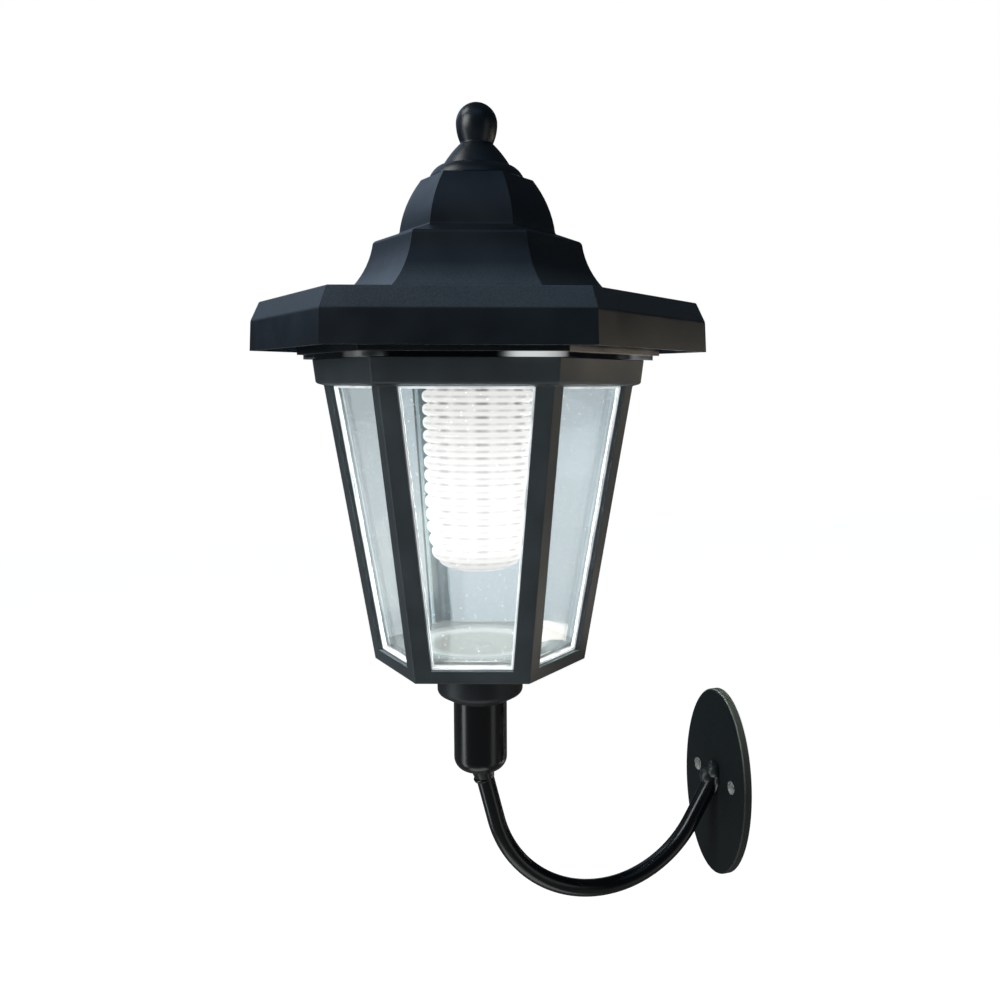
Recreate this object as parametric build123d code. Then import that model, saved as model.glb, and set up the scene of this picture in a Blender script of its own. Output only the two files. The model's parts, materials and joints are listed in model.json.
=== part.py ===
from build123d import *
from math import cos, radians, sin, tan
import os

# Solar wall light: a six-sided lantern that stands in the cup of a bent wall bracket.
# Millimetres, +Z up. The origin is midway between the two wall screws, on the back face of
# the wall plate. The wall is on the +Y side, and the lantern hangs out towards -Y.
# A six-sided size that ends in _R is measured from the axis to a corner.

# Wall plate and arm
REACH = 87.6            # wall to the lantern's upright axis
PLATE_W = 43.3
PLATE_H = 66.0
PLATE_T = 2.7
PLATE_EDGE = 0.7        # rounding of the plate's front edge
PLATE_DROP = 2.1        # the plate's middle lies this far below the screws
SCREW_SPACING = 24.5
SCREW_HOLE_D = 4.2
ARM_D = 5.8
ARM_LOW = -33.9         # lowest point of the arm's centre line
ARM_LEAN = 14.2         # degrees from upright where the arm leaves the cup
ARM_CLIMB = 60.0        # degrees from level where the arm meets the plate
ARM_BEND = 39.4         # radius of the bend on the lantern's side
WELD_L = 4.5
WELD_EDGE = 0.3         # thickness of the weld where it starts on the arm
WELD_BEAD = 1.5         # width of the weld round the arm, at the plate

# Socket cup
CUP_TOP = 36.6          # height of the cup's lip
CUP_D = 17.0
CUP_BORE = 14.4
CUP_DEPTH = 14.0
CUP_H = 23.3
CUP_ROUND = 4.6         # rounding of the cup's foot
NECK_D = 8.4            # weld round the arm under the cup, at its wide end
NECK_END_D = 6.2
NECK_L = 3.2
ARM_SEAT = 2.6          # how far the arm reaches up into the cup's foot

# Base boss
LANTERN_TURN = 10.0     # degrees that the lantern is turned in the cup
BOSS_D = 27.2
BOSS_H = 13.2
BOSS_SIDE = 10.5        # height of the straight side
BOSS_FOOT_D = 17.6
BOSS_COVE = 2.2
SPIGOT_L = 12.0
SWIVEL_GAP = 0.3
BASE_SCREW_D = 4.0
BASE_SCREW_HEAD_D = 7.6
BASE_SCREW_L = 14.0
COUNTERSINK = 1.6

# Cage
CAGE_FOOT_R = 33.4
CAGE_H = 94.4
POST_TOP_R = 47.9
POST_FACE = 5.1         # width of a post on each of its two faces
SILL_H = 3.9            # height of the ring under the panes
CAGE_WALL = 2.4
CAGE_FLOOR = 3.4
COLLAR_OVERHANG = 3.4   # from the posts to the collar, at the corners
COLLAR_DRAFT = 0.9      # the collar's lower edge lies this far inside its upper edge
COLLAR_H = 7.2
COLLAR_LIP = 0.7        # drop from the collar's lower edge to the posts
COLLAR_ROUND = 1.2

# Clear liner
LINER_GAP = 0.3
LINER_WALL = 1.6
LINER_FLOOR = 2.6
FLANGE_LIP = 2.7        # the flange shows this far beyond the collar
FLANGE_T = 1.4
DISH_D = 42.0           # round step in the liner's floor
DISH_STEP = 0.9

# Roof
RIM_LIFT = 1.2          # the rim's lower edge lies this far above the liner's flange
EAVES = 16.5            # the rim overhangs the liner's flange by this
RIM_BAND = 9.1
RIM_DRAFT = 0.5         # the band leans in by this
DECK_BEVEL = 2.9        # the slope above the band leans in by this
DECK_H = 15.0
TIER_A_TOP_R = 31.9
TIER_A_H = 18.0
TIER_A_HOLLOW = 2.2     # depth of the hollow flare
LEDGE_H = 2.6           # rise from the first tier's edge to the second tier
TIER_B_FOOT_R = 23.8
TIER_B_TOP_R = 17.6
TIER_B_H = 15.0
TIER_B_SWELL = 0.95     # height of the swelling side
CAP_BEVEL = 0.7
CAP_RISE = 1.0
SHOULDER = 1.5
ROOF_WALL = 2.0

# Finial
SKIRT_LEDGE = 0.24      # the roof's cap shows this much round the finial's skirt
SKIRT_TOP_D = 22.4
SKIRT_H = 3.6
SKIRT_SWELL = 0.45
DOME_D = 20.8
DOME_H = 6.9
DOME_SWELL = 0.3
BALL_NECK_D = 9.8
BALL_D = 12.5
BALL_RISE = 5.9         # from the neck to the ball's widest part
FINIAL_SCREW_D = 4.0
FINIAL_SCREW_HEAD_D = 7.0
FINIAL_SCREW_HEAD_H = 2.2
FINIAL_SCREW_GRIP = 8.0

# Solar panels, one on each of two opposite flats of the deck
PANEL_L = 42.0
PANEL_W = 15.0
PANEL_T = 1.6
PANEL_CORNER = 1.5
PANEL_GAP = 0.2
PANEL_MARGIN = 2.5      # deck that shows on each long side of the panel
PANEL_SETTLE = 0.3      # the panel's face lies this far below the deck
POCKET_RIM = 1.5
POCKET_FLOOR = 1.4
PANEL_FLAT = -30.0      # degrees from +X to the first panel's flat

# Soffit plate
SOFFIT_RECESS = 2.0
SOFFIT_T = 2.2
SOFFIT_GAP = 0.3
PAD_LIP = 2.0           # the soffit's raised pad reaches this far past the flange
PLUG_L = 7.0            # six-sided plug that enters the liner's mouth
PLUG_WALL = 1.8
PLUG_GAP = 0.5
SOFFIT_SCREW_D = 3.0
SOFFIT_SCREW_HEAD_D = 5.6
SOFFIT_SCREW_HEAD_H = 1.7
SOFFIT_SCREW_GRIP = 7.0
SCREW_POST_D = 6.8
SCREW_COUNT = 3

# Diode and diffuser
LED_BOARD_INSET = 1.5   # the diode board lies this far inside the diffuser's flange
LED_BOARD_T = 1.6
LED_D = 5.0
LED_L = 8.6
LED_ROUND = 2.4
DIFFUSER_FLANGE_D = 41.0
DIFFUSER_FLANGE_T = 1.5
DIFFUSER_TOP_D = 31.9   # over the valleys between the ribs
DIFFUSER_WAIST_D = 30.1
DIFFUSER_WAIST = 44.0   # depth of the straight taper below the rim
DIFFUSER_FOOT_D = 25.1
DIFFUSER_CURVE = 20.3   # length of the curved taper below the straight one
DIFFUSER_END_D = 18.0
DIFFUSER_TIP = 3.4      # height of the rounded end
DIFFUSER_WALL = 1.6
DIFFUSER_END_SWELL = 1.1
RIB_PITCH = 4.0
RIB_H = 1.7
RETAINER_T = 2.0
RETAINER_GAP = 0.4
RETAINER_POST_D = 5.2
RETAINER_SCREW_D = 2.5
RETAINER_SCREW_HEAD_D = 4.6
RETAINER_SCREW_HEAD_H = 1.5
RETAINER_SCREW_GRIP = 2.4
RETAINER_TURN = 30.0

# Cell and tray
CELL_D = 14.5
CELL_L = 50.5
CELL_NUB_D = 5.5
CELL_NUB_L = 1.0
CELL_GAP = 0.3
TRAY_WALL = 1.5
TRAY_FLOOR = 1.4
TRAY_SIDE = 10.0
CONTACT_T = 0.5
CONTACT_W = 8.0
CONTACT_TAIL = 2.0
LEAF_ROOM = 4.0         # space that the negative leaf spring takes

# Control board
BOARD_L = 30.0
BOARD_W = 14.0
BOARD_T = 1.6
BOARD_LIFT = 1.2
BOARD_MARGIN = 2.5      # screw's distance from the board's edges
BOARD_SHIFT = -14.0     # board's middle, along the tray
BOARD_CLEAR = 2.0       # gap between tray and board
BOARD_SCREW_D = 2.0
BOARD_SCREW_HEAD_D = 3.8
BOARD_SCREW_HEAD_H = 1.3
STANDOFF_D = 4.4
CHIP_L = 5.0
CHIP_W = 4.0
CHIP_H = 1.5
COIL_D = 5.0
COIL_H = 4.5
CAN_D = 4.0
CAN_H = 5.0
COMPONENT_PITCH = 5.6

# Slide switch
SWITCH_H = 5.5
SWITCH_WALL = 1.0
SLIDER_L = 2.6
SLIDER_W = 2.0
SLIDER_DROP = 1.3       # how far the slider stands below the soffit
CARRIAGE_L = 5.4
CARRIAGE_W = 4.2
CARRIAGE_H = 2.0
SWITCH_TRAVEL = 3.0
SWITCH_GAP = 0.3

# Leads
LEAD_D = 1.5
LEAD_BEND = 1.6
LEAD_SWEEP = 8.0        # bend where the right panel's lead rounds the tray
LEAD_HOLE_D = 2.6
LEAD_OVER = 0.5         # gap between the cell and the leads that cross it
LEAD_EDGE = 1.5         # from the diode lead to the edge of its board
LEAD_STUB = 4.0         # straight run at each end of the switch's lead
DIODE_LEAD_TURN = 75.0
LEAD_PITCH = 3.75       # spacing of the leads on the board
LEAD_MARGIN = 2.4       # a lead's distance from the board's edge
DECK_CLEAR = 1.2        # a lead's middle keeps this far below the deck and the pockets
THREAD_GAP = 0.05       # a screw's thread in its pilot hole
SIDES = 6

# Six-sided sizes that follow from the cage's top and the panels
HALF_SIDE = 180 / SIDES     # degrees from a flat's middle to its corner
COLLAR_R = POST_TOP_R + COLLAR_OVERHANG
COLLAR_FOOT_R = COLLAR_R - COLLAR_DRAFT
FLANGE_R = COLLAR_R + FLANGE_LIP
PAD_R = FLANGE_R + PAD_LIP
RIM_R = FLANGE_R + EAVES
RIM_TOP_R = RIM_R - RIM_DRAFT
DECK_R = RIM_TOP_R - DECK_BEVEL
TIER_A_FOOT_R = DECK_R - (PANEL_W + 2 * PANEL_MARGIN) / cos(radians(HALF_SIDE))
CAP_R = TIER_B_TOP_R - CAP_BEVEL

# Levels in the lantern, above the cup's lip
CAGE_FOOT = BOSS_H
CAGE_TOP = CAGE_FOOT + CAGE_H
COLLAR_FOOT = CAGE_TOP - COLLAR_H
POST_TOP = COLLAR_FOOT - COLLAR_LIP
FLANGE_TOP = CAGE_TOP + FLANGE_T
RIM_FOOT = FLANGE_TOP + RIM_LIFT

# Levels in the head, above the rim's lower edge
SOFFIT_TOP = SOFFIT_RECESS + SOFFIT_T
PLUG_FOOT = -RIM_LIFT - PLUG_L
LED_BOARD_FOOT = SOFFIT_RECESS - LED_BOARD_T
DIFFUSER_SEAT = LED_BOARD_FOOT - DIFFUSER_FLANGE_T
RETAINER_FOOT = DIFFUSER_SEAT - RETAINER_T
DECK_UNDER = DECK_H - ROOF_WALL
TIER_A_TOP = DECK_H + TIER_A_H
TIER_B_FOOT = TIER_A_TOP + LEDGE_H
TIER_B_TOP = TIER_B_FOOT + TIER_B_H
CAP_H = TIER_B_TOP + CAP_RISE
DIFFUSER_FOOT = DIFFUSER_WAIST + DIFFUSER_CURVE
DIFFUSER_END = DIFFUSER_FOOT + DIFFUSER_TIP
TRAY_TOP = SOFFIT_TOP + TRAY_FLOOR + TRAY_SIDE
CELL_Z = SOFFIT_TOP + TRAY_FLOOR + CELL_GAP + CELL_D / 2
BOARD_FOOT = SOFFIT_TOP + BOARD_LIFT
BOARD_TOP = BOARD_FOOT + BOARD_T
LEAD_HIGH = DECK_UNDER - DECK_CLEAR

UPWARD = (Align.CENTER, Align.CENTER, Align.MIN)


def flat(corner_r):
    """Distance from the axis to a flat, for a distance to a corner."""
    return corner_r * cos(radians(HALF_SIDE))


def six_sided(section):
    """Solid whose flats all have the upright section, which is symmetric about the axis."""
    slab = extrude(Plane.YZ * section, 2 * RIM_R, both=True)
    turned = Rot(Z=2 * HALF_SIDE) * slab
    return slab & turned & Rot(Z=2 * HALF_SIDE) * turned


def six_sided_block(*points):
    """Six-sided solid from (distance to a flat, height) points, from the bottom up."""
    mirrored = [(-out, height) for out, height in reversed(points)]
    return six_sided(make_face(Polyline(*points, *mirrored, close=True)))


def ring_of(count, distance, start):
    """Places at even turns about the axis."""
    step = 360 / count
    return [Rot(Z=start + k * step) * Pos(X=distance) for k in range(count)]


def turned(*lines):
    """Solid of revolution about Z from a closed half section of (radius, height) lines."""
    return revolve(Plane.XZ * make_face(lines), Axis.Z)


def turned_block(*points):
    """Solid of revolution from (radius, height) points."""
    return turned(Polyline(*points, close=True))


def rod(diameter, low, high):
    """Upright round bar between two heights."""
    return Pos(Z=low) * Cylinder(diameter / 2, high - low, align=UPWARD)


def block(length, width, low, high):
    """Upright box, centred, between two heights."""
    return Pos(Z=low) * Box(length, width, high - low, align=UPWARD)


def pan_screw(diameter, head_d, head_h, seat, length):
    """Screw that points up, with its round head under the seat."""
    head = rod(head_d, seat - head_h, seat)
    edge = fillet(head.edges().group_by(Axis.Z)[0], head_h / 2)
    return edge + rod(diameter, seat - head_h / 2, seat + length)


def lead(*points, bends):
    """Insulated lead along straight runs joined by arcs."""
    path = FilletPolyline(*points, radius=bends)
    return sweep(Plane(origin=path @ 0, z_dir=path % 0) * Circle(LEAD_D / 2), path=path)


def arm_path():
    """Centre line of the arm in its plane, as (distance from the wall's face, height)."""
    lean = radians(ARM_LEAN)
    climb = radians(ARM_CLIMB)
    top = (-REACH, CUP_TOP - CUP_H + ARM_SEAT)
    lamp_start_z = ARM_LOW + ARM_BEND * (1 - sin(lean))
    lamp_start = (top[0] + (top[1] - lamp_start_z) * tan(lean), lamp_start_z)
    low = (lamp_start[0] + ARM_BEND * cos(lean), ARM_LOW)
    end_y = -PLATE_T
    wall_bend = ((end_y - low[0]) * sin(climb) + ARM_LOW * cos(climb)) / (1 - cos(climb))
    centre_z = ARM_LOW + wall_bend
    wall_end = (low[0] + wall_bend * sin(climb), centre_z - wall_bend * cos(climb))
    half_lean = (radians(90) + lean) / 2
    half_climb = climb / 2
    lamp_mid = (low[0] - ARM_BEND * cos(half_lean), ARM_LOW + ARM_BEND * (1 - sin(half_lean)))
    wall_mid = (low[0] + wall_bend * sin(half_climb), centre_z - wall_bend * cos(half_climb))
    past_plate = (end_y + PLATE_T * cos(climb), PLATE_T * sin(climb))
    lines = [
        Line(top, lamp_start),
        ThreePointArc(lamp_start, lamp_mid, low),
        ThreePointArc(low, wall_mid, wall_end),
        Line(wall_end, past_plate),
    ]
    return Plane.YZ * Wire(lines)


def bracket():
    """Wall plate, arm, weld and socket cup."""
    path = arm_path()
    start = Plane(origin=path @ 0, z_dir=path % 0)
    long_arm = sweep(start * Circle(ARM_D / 2), path=path)
    before_plate = (Align.CENTER, Align.MAX, Align.CENTER)
    outer_side = Pos(Y=-PLATE_T) * Box(PLATE_W, 2 * REACH, 2 * REACH, align=before_plate)
    arm = long_arm & outer_side

    oval = Pos(Y=-PLATE_DROP) * Ellipse(PLATE_W / 2, PLATE_H / 2)
    holes = Locations((-SCREW_SPACING / 2, 0), (SCREW_SPACING / 2, 0))
    for place in holes:
        oval -= place * Circle(SCREW_HOLE_D / 2)
    plate = extrude(Plane.XZ * oval, PLATE_T)
    outline = plate.edges().group_by(Axis.Y)[0].sort_by(SortBy.LENGTH)[-1]
    plate = fillet(outline, PLATE_EDGE)

    end_dir = path % 1
    weld_base = Vector(0, -PLATE_T, 0)
    weld_plane = Plane(origin=weld_base - end_dir * WELD_L, z_dir=end_dir)
    thin = ARM_D / 2 + WELD_EDGE
    bead = Cone(thin, thin + 2 * (WELD_BEAD - WELD_EDGE), 2 * WELD_L, align=UPWARD)
    weld = (weld_plane * bead & outer_side) - long_arm

    cup = rod(CUP_D, -CUP_H, 0)
    cup = fillet(cup.edges().group_by(Axis.Z)[0], CUP_ROUND)
    cup -= rod(CUP_BORE, -CUP_DEPTH, 0)
    cup = Pos(Y=-REACH, Z=CUP_TOP) * cup
    neck = Cone(NECK_D / 2, NECK_END_D / 2, ARM_SEAT + NECK_L, align=UPWARD)
    cup = (cup + start * neck) - long_arm
    return {"wall_plate": plate, "bracket_arm": arm, "plate_weld": weld, "socket_cup": cup}


def cage_flat(height):
    """Distance from the axis to the cage's outer flat at a height."""
    slope = (flat(POST_TOP_R) - flat(CAGE_FOOT_R)) / (POST_TOP - CAGE_FOOT)
    return flat(CAGE_FOOT_R) + slope * (height - CAGE_FOOT)


def tapered(inset, low, high):
    """Six-sided solid inside the cage's taper, smaller by the inset."""
    return six_sided_block((cage_flat(low) - inset, low), (cage_flat(high) - inset, high))


def window_cutter():
    """Prism through one side of the cage, between two posts."""
    low = CAGE_FOOT + SILL_H
    low_half = cage_flat(low) * tan(radians(HALF_SIDE)) - POST_FACE
    high_half = cage_flat(POST_TOP) * tan(radians(HALF_SIDE)) - POST_FACE
    corners = [(-low_half, low), (low_half, low), (high_half, POST_TOP), (-high_half, POST_TOP)]
    opening = make_face(Polyline(*corners, close=True))
    return extrude(Plane.XZ * opening, -RIM_R)


def lantern():
    """Boss, cage, clear liner and the screw that holds the boss to the cage."""
    body = six_sided_block((flat(CAGE_FOOT_R), CAGE_FOOT), (flat(POST_TOP_R), POST_TOP))
    collar = six_sided_block(
        (flat(POST_TOP_R), POST_TOP),
        (flat(COLLAR_FOOT_R), COLLAR_FOOT),
        (flat(COLLAR_R), CAGE_TOP),
    )
    lower_edge = collar.edges().group_by(Axis.Z)[1:-1]
    lower_edge = [edge for group in lower_edge for edge in group if edge.length > COLLAR_FOOT_R / 2]
    collar = fillet(lower_edge, COLLAR_ROUND)
    cage = body + collar - tapered(CAGE_WALL, CAGE_FOOT + CAGE_FLOOR, CAGE_TOP)
    cutter = window_cutter()
    for k in range(SIDES):
        cage -= Rot(Z=2 * HALF_SIDE * k) * cutter

    floor_top = CAGE_FOOT + CAGE_FLOOR
    screw = turned_block(
        (0, floor_top),
        (BASE_SCREW_HEAD_D / 2, floor_top),
        (BASE_SCREW_D / 2, floor_top - COUNTERSINK),
        (BASE_SCREW_D / 2, floor_top - BASE_SCREW_L),
        (0, floor_top - BASE_SCREW_L),
    )
    screw_room = offset(screw, THREAD_GAP)
    cage -= screw_room

    foot_r = BOSS_FOOT_D / 2
    side_foot = BOSS_H - BOSS_SIDE
    boss_line = FilletPolyline(
        (0, 0),
        (foot_r, 0),
        (BOSS_D / 2, side_foot),
        (BOSS_D / 2, BOSS_H),
        (0, BOSS_H),
        radius=[0, BOSS_COVE, 0],
    )
    boss = turned(boss_line, Line((0, BOSS_H), (0, 0)))
    boss += rod(CUP_BORE - 2 * SWIVEL_GAP, -SPIGOT_L, 0)
    boss -= screw_room

    liner_out = CAGE_WALL + LINER_GAP
    liner_in = liner_out + LINER_WALL
    liner_foot = floor_top + LINER_GAP
    liner_floor = liner_foot + LINER_FLOOR
    liner = tapered(liner_out, liner_foot, CAGE_TOP)
    liner += six_sided_block((flat(FLANGE_R), CAGE_TOP), (flat(FLANGE_R), FLANGE_TOP))
    liner -= tapered(liner_in, liner_floor, FLANGE_TOP)
    liner -= rod(DISH_D, liner_floor - DISH_STEP, liner_floor)
    return {"cage": cage, "clear_liner": liner, "base_boss": boss, "base_screw": screw}


def roof_section(inset):
    """Full section of the roof through two flats, shrunk by the inset for its hollow."""
    def at(corner_r, height):
        return (flat(corner_r) - inset, height - inset)

    foot = (flat(RIM_R) - inset, 0)
    deck_in = at(TIER_A_FOOT_R, DECK_H)
    tier_a = at(TIER_A_TOP_R, TIER_A_TOP)
    tier_b = at(TIER_B_FOOT_R, TIER_B_FOOT)
    tier_b_top = at(TIER_B_TOP_R, TIER_B_TOP)
    cap = at(CAP_R, CAP_H)
    top = (0, cap[1])
    half = make_face([
        Polyline((0, 0), foot, at(RIM_TOP_R, RIM_BAND), at(DECK_R, DECK_H), deck_in),
        SagittaArc(deck_in, tier_a, TIER_A_HOLLOW),
        Line(tier_a, tier_b),
        SagittaArc(tier_b, tier_b_top, -TIER_B_SWELL),
        Polyline(tier_b_top, cap, top, (0, 0)),
    ])
    if inset == 0:
        half = fillet(half.vertices().sort_by_distance((*tier_a, 0))[0], SHOULDER)
    return half + mirror(half, Plane.YZ)


def roof():
    """Roof shell, finial and the finial's screw."""
    outer = six_sided(roof_section(0))
    shell = outer - six_sided(roof_section(ROOF_WALL))
    post = rod(SCREW_POST_D, SOFFIT_TOP, DECK_UNDER)
    post -= rod(SOFFIT_SCREW_D + 2 * THREAD_GAP, SOFFIT_TOP, SOFFIT_TOP + SOFFIT_SCREW_GRIP)
    for place in ring_of(SCREW_COUNT, soffit_screw_distance(), 2 * HALF_SIDE):
        shell += place * post

    panel_low = DECK_H - PANEL_SETTLE - PANEL_T
    panel = block(PANEL_W, PANEL_L, panel_low, panel_low + PANEL_T)
    panel = fillet(panel.edges().filter_by(Axis.Z), PANEL_CORNER)
    pocket_l = PANEL_L + 2 * PANEL_GAP
    pocket_w = PANEL_W + 2 * PANEL_GAP
    tray_low = panel_low - POCKET_FLOOR
    tray = block(pocket_w + 2 * POCKET_RIM, pocket_l + 2 * POCKET_RIM, tray_low, DECK_H)
    pocket = block(pocket_w, pocket_l, panel_low, DECK_H) + rod(LEAD_HOLE_D, tray_low, DECK_H)
    panels = []
    for turn in (PANEL_FLAT, PANEL_FLAT + 180):
        place = Rot(Z=turn) * Pos(X=panel_distance())
        shell += place * tray
        shell -= place * pocket
        panels.append(place * panel)

    screw_seat = CAP_H - ROOF_WALL
    screw = pan_screw(
        FINIAL_SCREW_D,
        FINIAL_SCREW_HEAD_D,
        FINIAL_SCREW_HEAD_H,
        screw_seat,
        ROOF_WALL + FINIAL_SCREW_GRIP,
    )
    screw_hole = rod(FINIAL_SCREW_D + 2 * THREAD_GAP, screw_seat, CAP_H + FINIAL_SCREW_GRIP)
    shell -= screw_hole

    ball_r = BALL_D / 2
    neck_z = CAP_H + SKIRT_H + DOME_H
    ball_z = neck_z + BALL_RISE
    waist = (ball_r - BALL_NECK_D / 2) / 2
    skirt_foot = (flat(CAP_R) - SKIRT_LEDGE, CAP_H)
    skirt_top = (SKIRT_TOP_D / 2, CAP_H + SKIRT_H)
    dome_foot = (DOME_D / 2, CAP_H + SKIRT_H)
    neck = (BALL_NECK_D / 2, neck_z)
    widest = (ball_r, ball_z)
    crown = (0, ball_z + ball_r)
    on_ball = (ball_r * cos(radians(45)), ball_z + ball_r * sin(radians(45)))
    finial = turned(
        Line((0, CAP_H), skirt_foot),
        SagittaArc(skirt_foot, skirt_top, -SKIRT_SWELL),
        Line(skirt_top, dome_foot),
        SagittaArc(dome_foot, neck, -DOME_SWELL),
        SagittaArc(neck, widest, -waist / 2),
        ThreePointArc(widest, on_ball, crown),
        Line(crown, (0, CAP_H)),
    )
    finial -= screw_hole
    return {
        "roof_shell": shell,
        "finial": finial,
        "finial_screw": screw,
        "solar_panel_right": panels[0],
        "solar_panel_left": panels[1],
    }


def panel_distance():
    """Distance from the axis to the middle of a solar panel."""
    return (flat(DECK_R) + flat(TIER_A_FOOT_R)) / 2


def switch_distance():
    """Distance from the axis to the switch, between the soffit's pad and the roof's slope."""
    return (flat(PAD_R) + flat(DECK_R) - ROOF_WALL) / 2


def switch_width():
    """Width of the switch's housing, across the slider's way."""
    return CARRIAGE_W + 2 * (SWITCH_GAP + SWITCH_WALL)


def soffit_screw_distance():
    """Distance from the axis to the soffit's screws, between the pad's and the rim's corners."""
    return (PAD_R + RIM_R - ROOF_WALL / cos(radians(HALF_SIDE))) / 2


def led_board_diameter():
    """The diode board covers the diffuser's open end."""
    return DIFFUSER_FLANGE_D - 2 * LED_BOARD_INSET


def retainer_distance():
    """Distance from the axis to the screws that hold the diffuser."""
    return DIFFUSER_FLANGE_D / 2 + RETAINER_GAP + RETAINER_POST_D / 2


def board_middle():
    """Middle of the control board, beside the cell's tray."""
    return (BOARD_SHIFT, tray_width() / 2 + BOARD_CLEAR + BOARD_W / 2)


def board_screw_places():
    """Two opposite corners of the control board."""
    x, y = board_middle()
    out_x = BOARD_L / 2 - BOARD_MARGIN
    out_y = BOARD_W / 2 - BOARD_MARGIN
    return [Pos(x - out_x, y - out_y), Pos(x + out_x, y + out_y)]


def tray_width():
    """Outer width of the cell's tray."""
    return CELL_D + 2 * (CELL_GAP + TRAY_WALL)


def tray_room():
    """Inner length of the cell's tray."""
    return CELL_L + LEAF_ROOM + 2 * CONTACT_T


def led_lead_hole():
    """Where the diode board's lead passes up through the soffit."""
    turn = radians(DIODE_LEAD_TURN)
    distance = led_board_diameter() / 2 - LEAD_EDGE
    return (distance * cos(turn), distance * sin(turn))


def soffit():
    """Soffit plate with the plug that enters the liner, and its screws."""
    edge = flat(RIM_TOP_R) - ROOF_WALL - SOFFIT_GAP
    plug_inset = CAGE_WALL + LINER_GAP + LINER_WALL + PLUG_GAP
    plate = six_sided_block((edge, SOFFIT_RECESS), (edge, SOFFIT_TOP))
    plate += six_sided_block((flat(PAD_R), -RIM_LIFT), (flat(PAD_R), SOFFIT_RECESS))
    plug = tapered(plug_inset, RIM_FOOT + PLUG_FOOT, FLANGE_TOP)
    hollow = tapered(plug_inset + PLUG_WALL, RIM_FOOT + PLUG_FOOT, RIM_FOOT + SOFFIT_RECESS)
    plate += Pos(Z=-RIM_FOOT) * plug
    plate -= Pos(Z=-RIM_FOOT) * hollow

    retainer_pilot = RETAINER_SCREW_D + 2 * THREAD_GAP
    post = rod(RETAINER_POST_D, DIFFUSER_SEAT, SOFFIT_RECESS)
    pilot = rod(retainer_pilot, DIFFUSER_SEAT, DIFFUSER_SEAT + RETAINER_SCREW_GRIP)
    for place in ring_of(SCREW_COUNT, retainer_distance(), RETAINER_TURN):
        plate += place * post
        plate -= place * pilot

    standoff = rod(STANDOFF_D, SOFFIT_TOP, BOARD_FOOT)
    board_pilot = rod(BOARD_SCREW_D + 2 * THREAD_GAP, SOFFIT_RECESS + THREAD_GAP, BOARD_FOOT)
    for place in board_screw_places():
        plate += place * standoff
        plate -= place * board_pilot

    screws = []
    screw = pan_screw(
        SOFFIT_SCREW_D,
        SOFFIT_SCREW_HEAD_D,
        SOFFIT_SCREW_HEAD_H,
        SOFFIT_RECESS,
        SOFFIT_T + SOFFIT_SCREW_GRIP,
    )
    clear_hole = rod(SOFFIT_SCREW_D + 2 * THREAD_GAP, SOFFIT_RECESS, SOFFIT_TOP)
    for place in ring_of(SCREW_COUNT, soffit_screw_distance(), 2 * HALF_SIDE):
        plate -= place * clear_hole
        screws.append(place * screw)

    plate -= Pos(*led_lead_hole()) * rod(LEAD_HOLE_D, SOFFIT_RECESS, SOFFIT_TOP)
    slot_l = SLIDER_L + SWITCH_TRAVEL + 2 * SWITCH_GAP
    slot_w = SLIDER_W + 2 * SWITCH_GAP
    plate -= Pos(Y=switch_distance()) * block(slot_l, slot_w, SOFFIT_RECESS, SOFFIT_TOP)
    return {"soffit_plate": plate, "soffit_screws": Compound(screws)}


def rib_radius(depth):
    """Radius of the diffuser in the valleys between its ribs, at a depth below the rim."""
    if depth < DIFFUSER_WAIST:
        share = depth / DIFFUSER_WAIST
        return (DIFFUSER_TOP_D + (DIFFUSER_WAIST_D - DIFFUSER_TOP_D) * share) / 2
    share = (depth - DIFFUSER_WAIST) / (DIFFUSER_FOOT - DIFFUSER_WAIST)
    return (DIFFUSER_WAIST_D + (DIFFUSER_FOOT_D - DIFFUSER_WAIST_D) * share ** 2) / 2


def diffuser():
    """Ribbed clear tube with a closed rounded end, hung by its flange."""
    top = -RETAINER_FOOT + RETAINER_GAP
    ribs = round((DIFFUSER_FOOT - top) / RIB_PITCH)
    pitch = (DIFFUSER_FOOT - top) / ribs
    depths = [top + k * pitch for k in range(ribs + 1)]
    valleys = [(rib_radius(depth), -depth) for depth in depths]
    outline = [
        Polyline(
            (0, LED_BOARD_FOOT),
            (DIFFUSER_FLANGE_D / 2, LED_BOARD_FOOT),
            (DIFFUSER_FLANGE_D / 2, DIFFUSER_SEAT),
            (valleys[0][0], DIFFUSER_SEAT),
            valleys[0],
        )
    ]
    for upper, lower in zip(valleys, valleys[1:]):
        outline.append(SagittaArc(upper, lower, RIB_H))
    end = (DIFFUSER_END_D / 2, -DIFFUSER_END)
    outline.append(SagittaArc(valleys[-1], end, DIFFUSER_END_SWELL))
    outline.append(Polyline(end, (0, -DIFFUSER_END), (0, LED_BOARD_FOOT)))
    tube = turned(*outline)
    bore = turned_block(
        (0, LED_BOARD_FOOT),
        (DIFFUSER_TOP_D / 2 - DIFFUSER_WALL, LED_BOARD_FOOT),
        (DIFFUSER_WAIST_D / 2 - DIFFUSER_WALL, -DIFFUSER_WAIST),
        (DIFFUSER_FOOT_D / 2 - DIFFUSER_WALL, -DIFFUSER_FOOT),
        (DIFFUSER_END_D / 2 - DIFFUSER_WALL, -DIFFUSER_END + DIFFUSER_WALL),
        (0, -DIFFUSER_END + DIFFUSER_WALL),
    )
    return tube - bore


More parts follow.
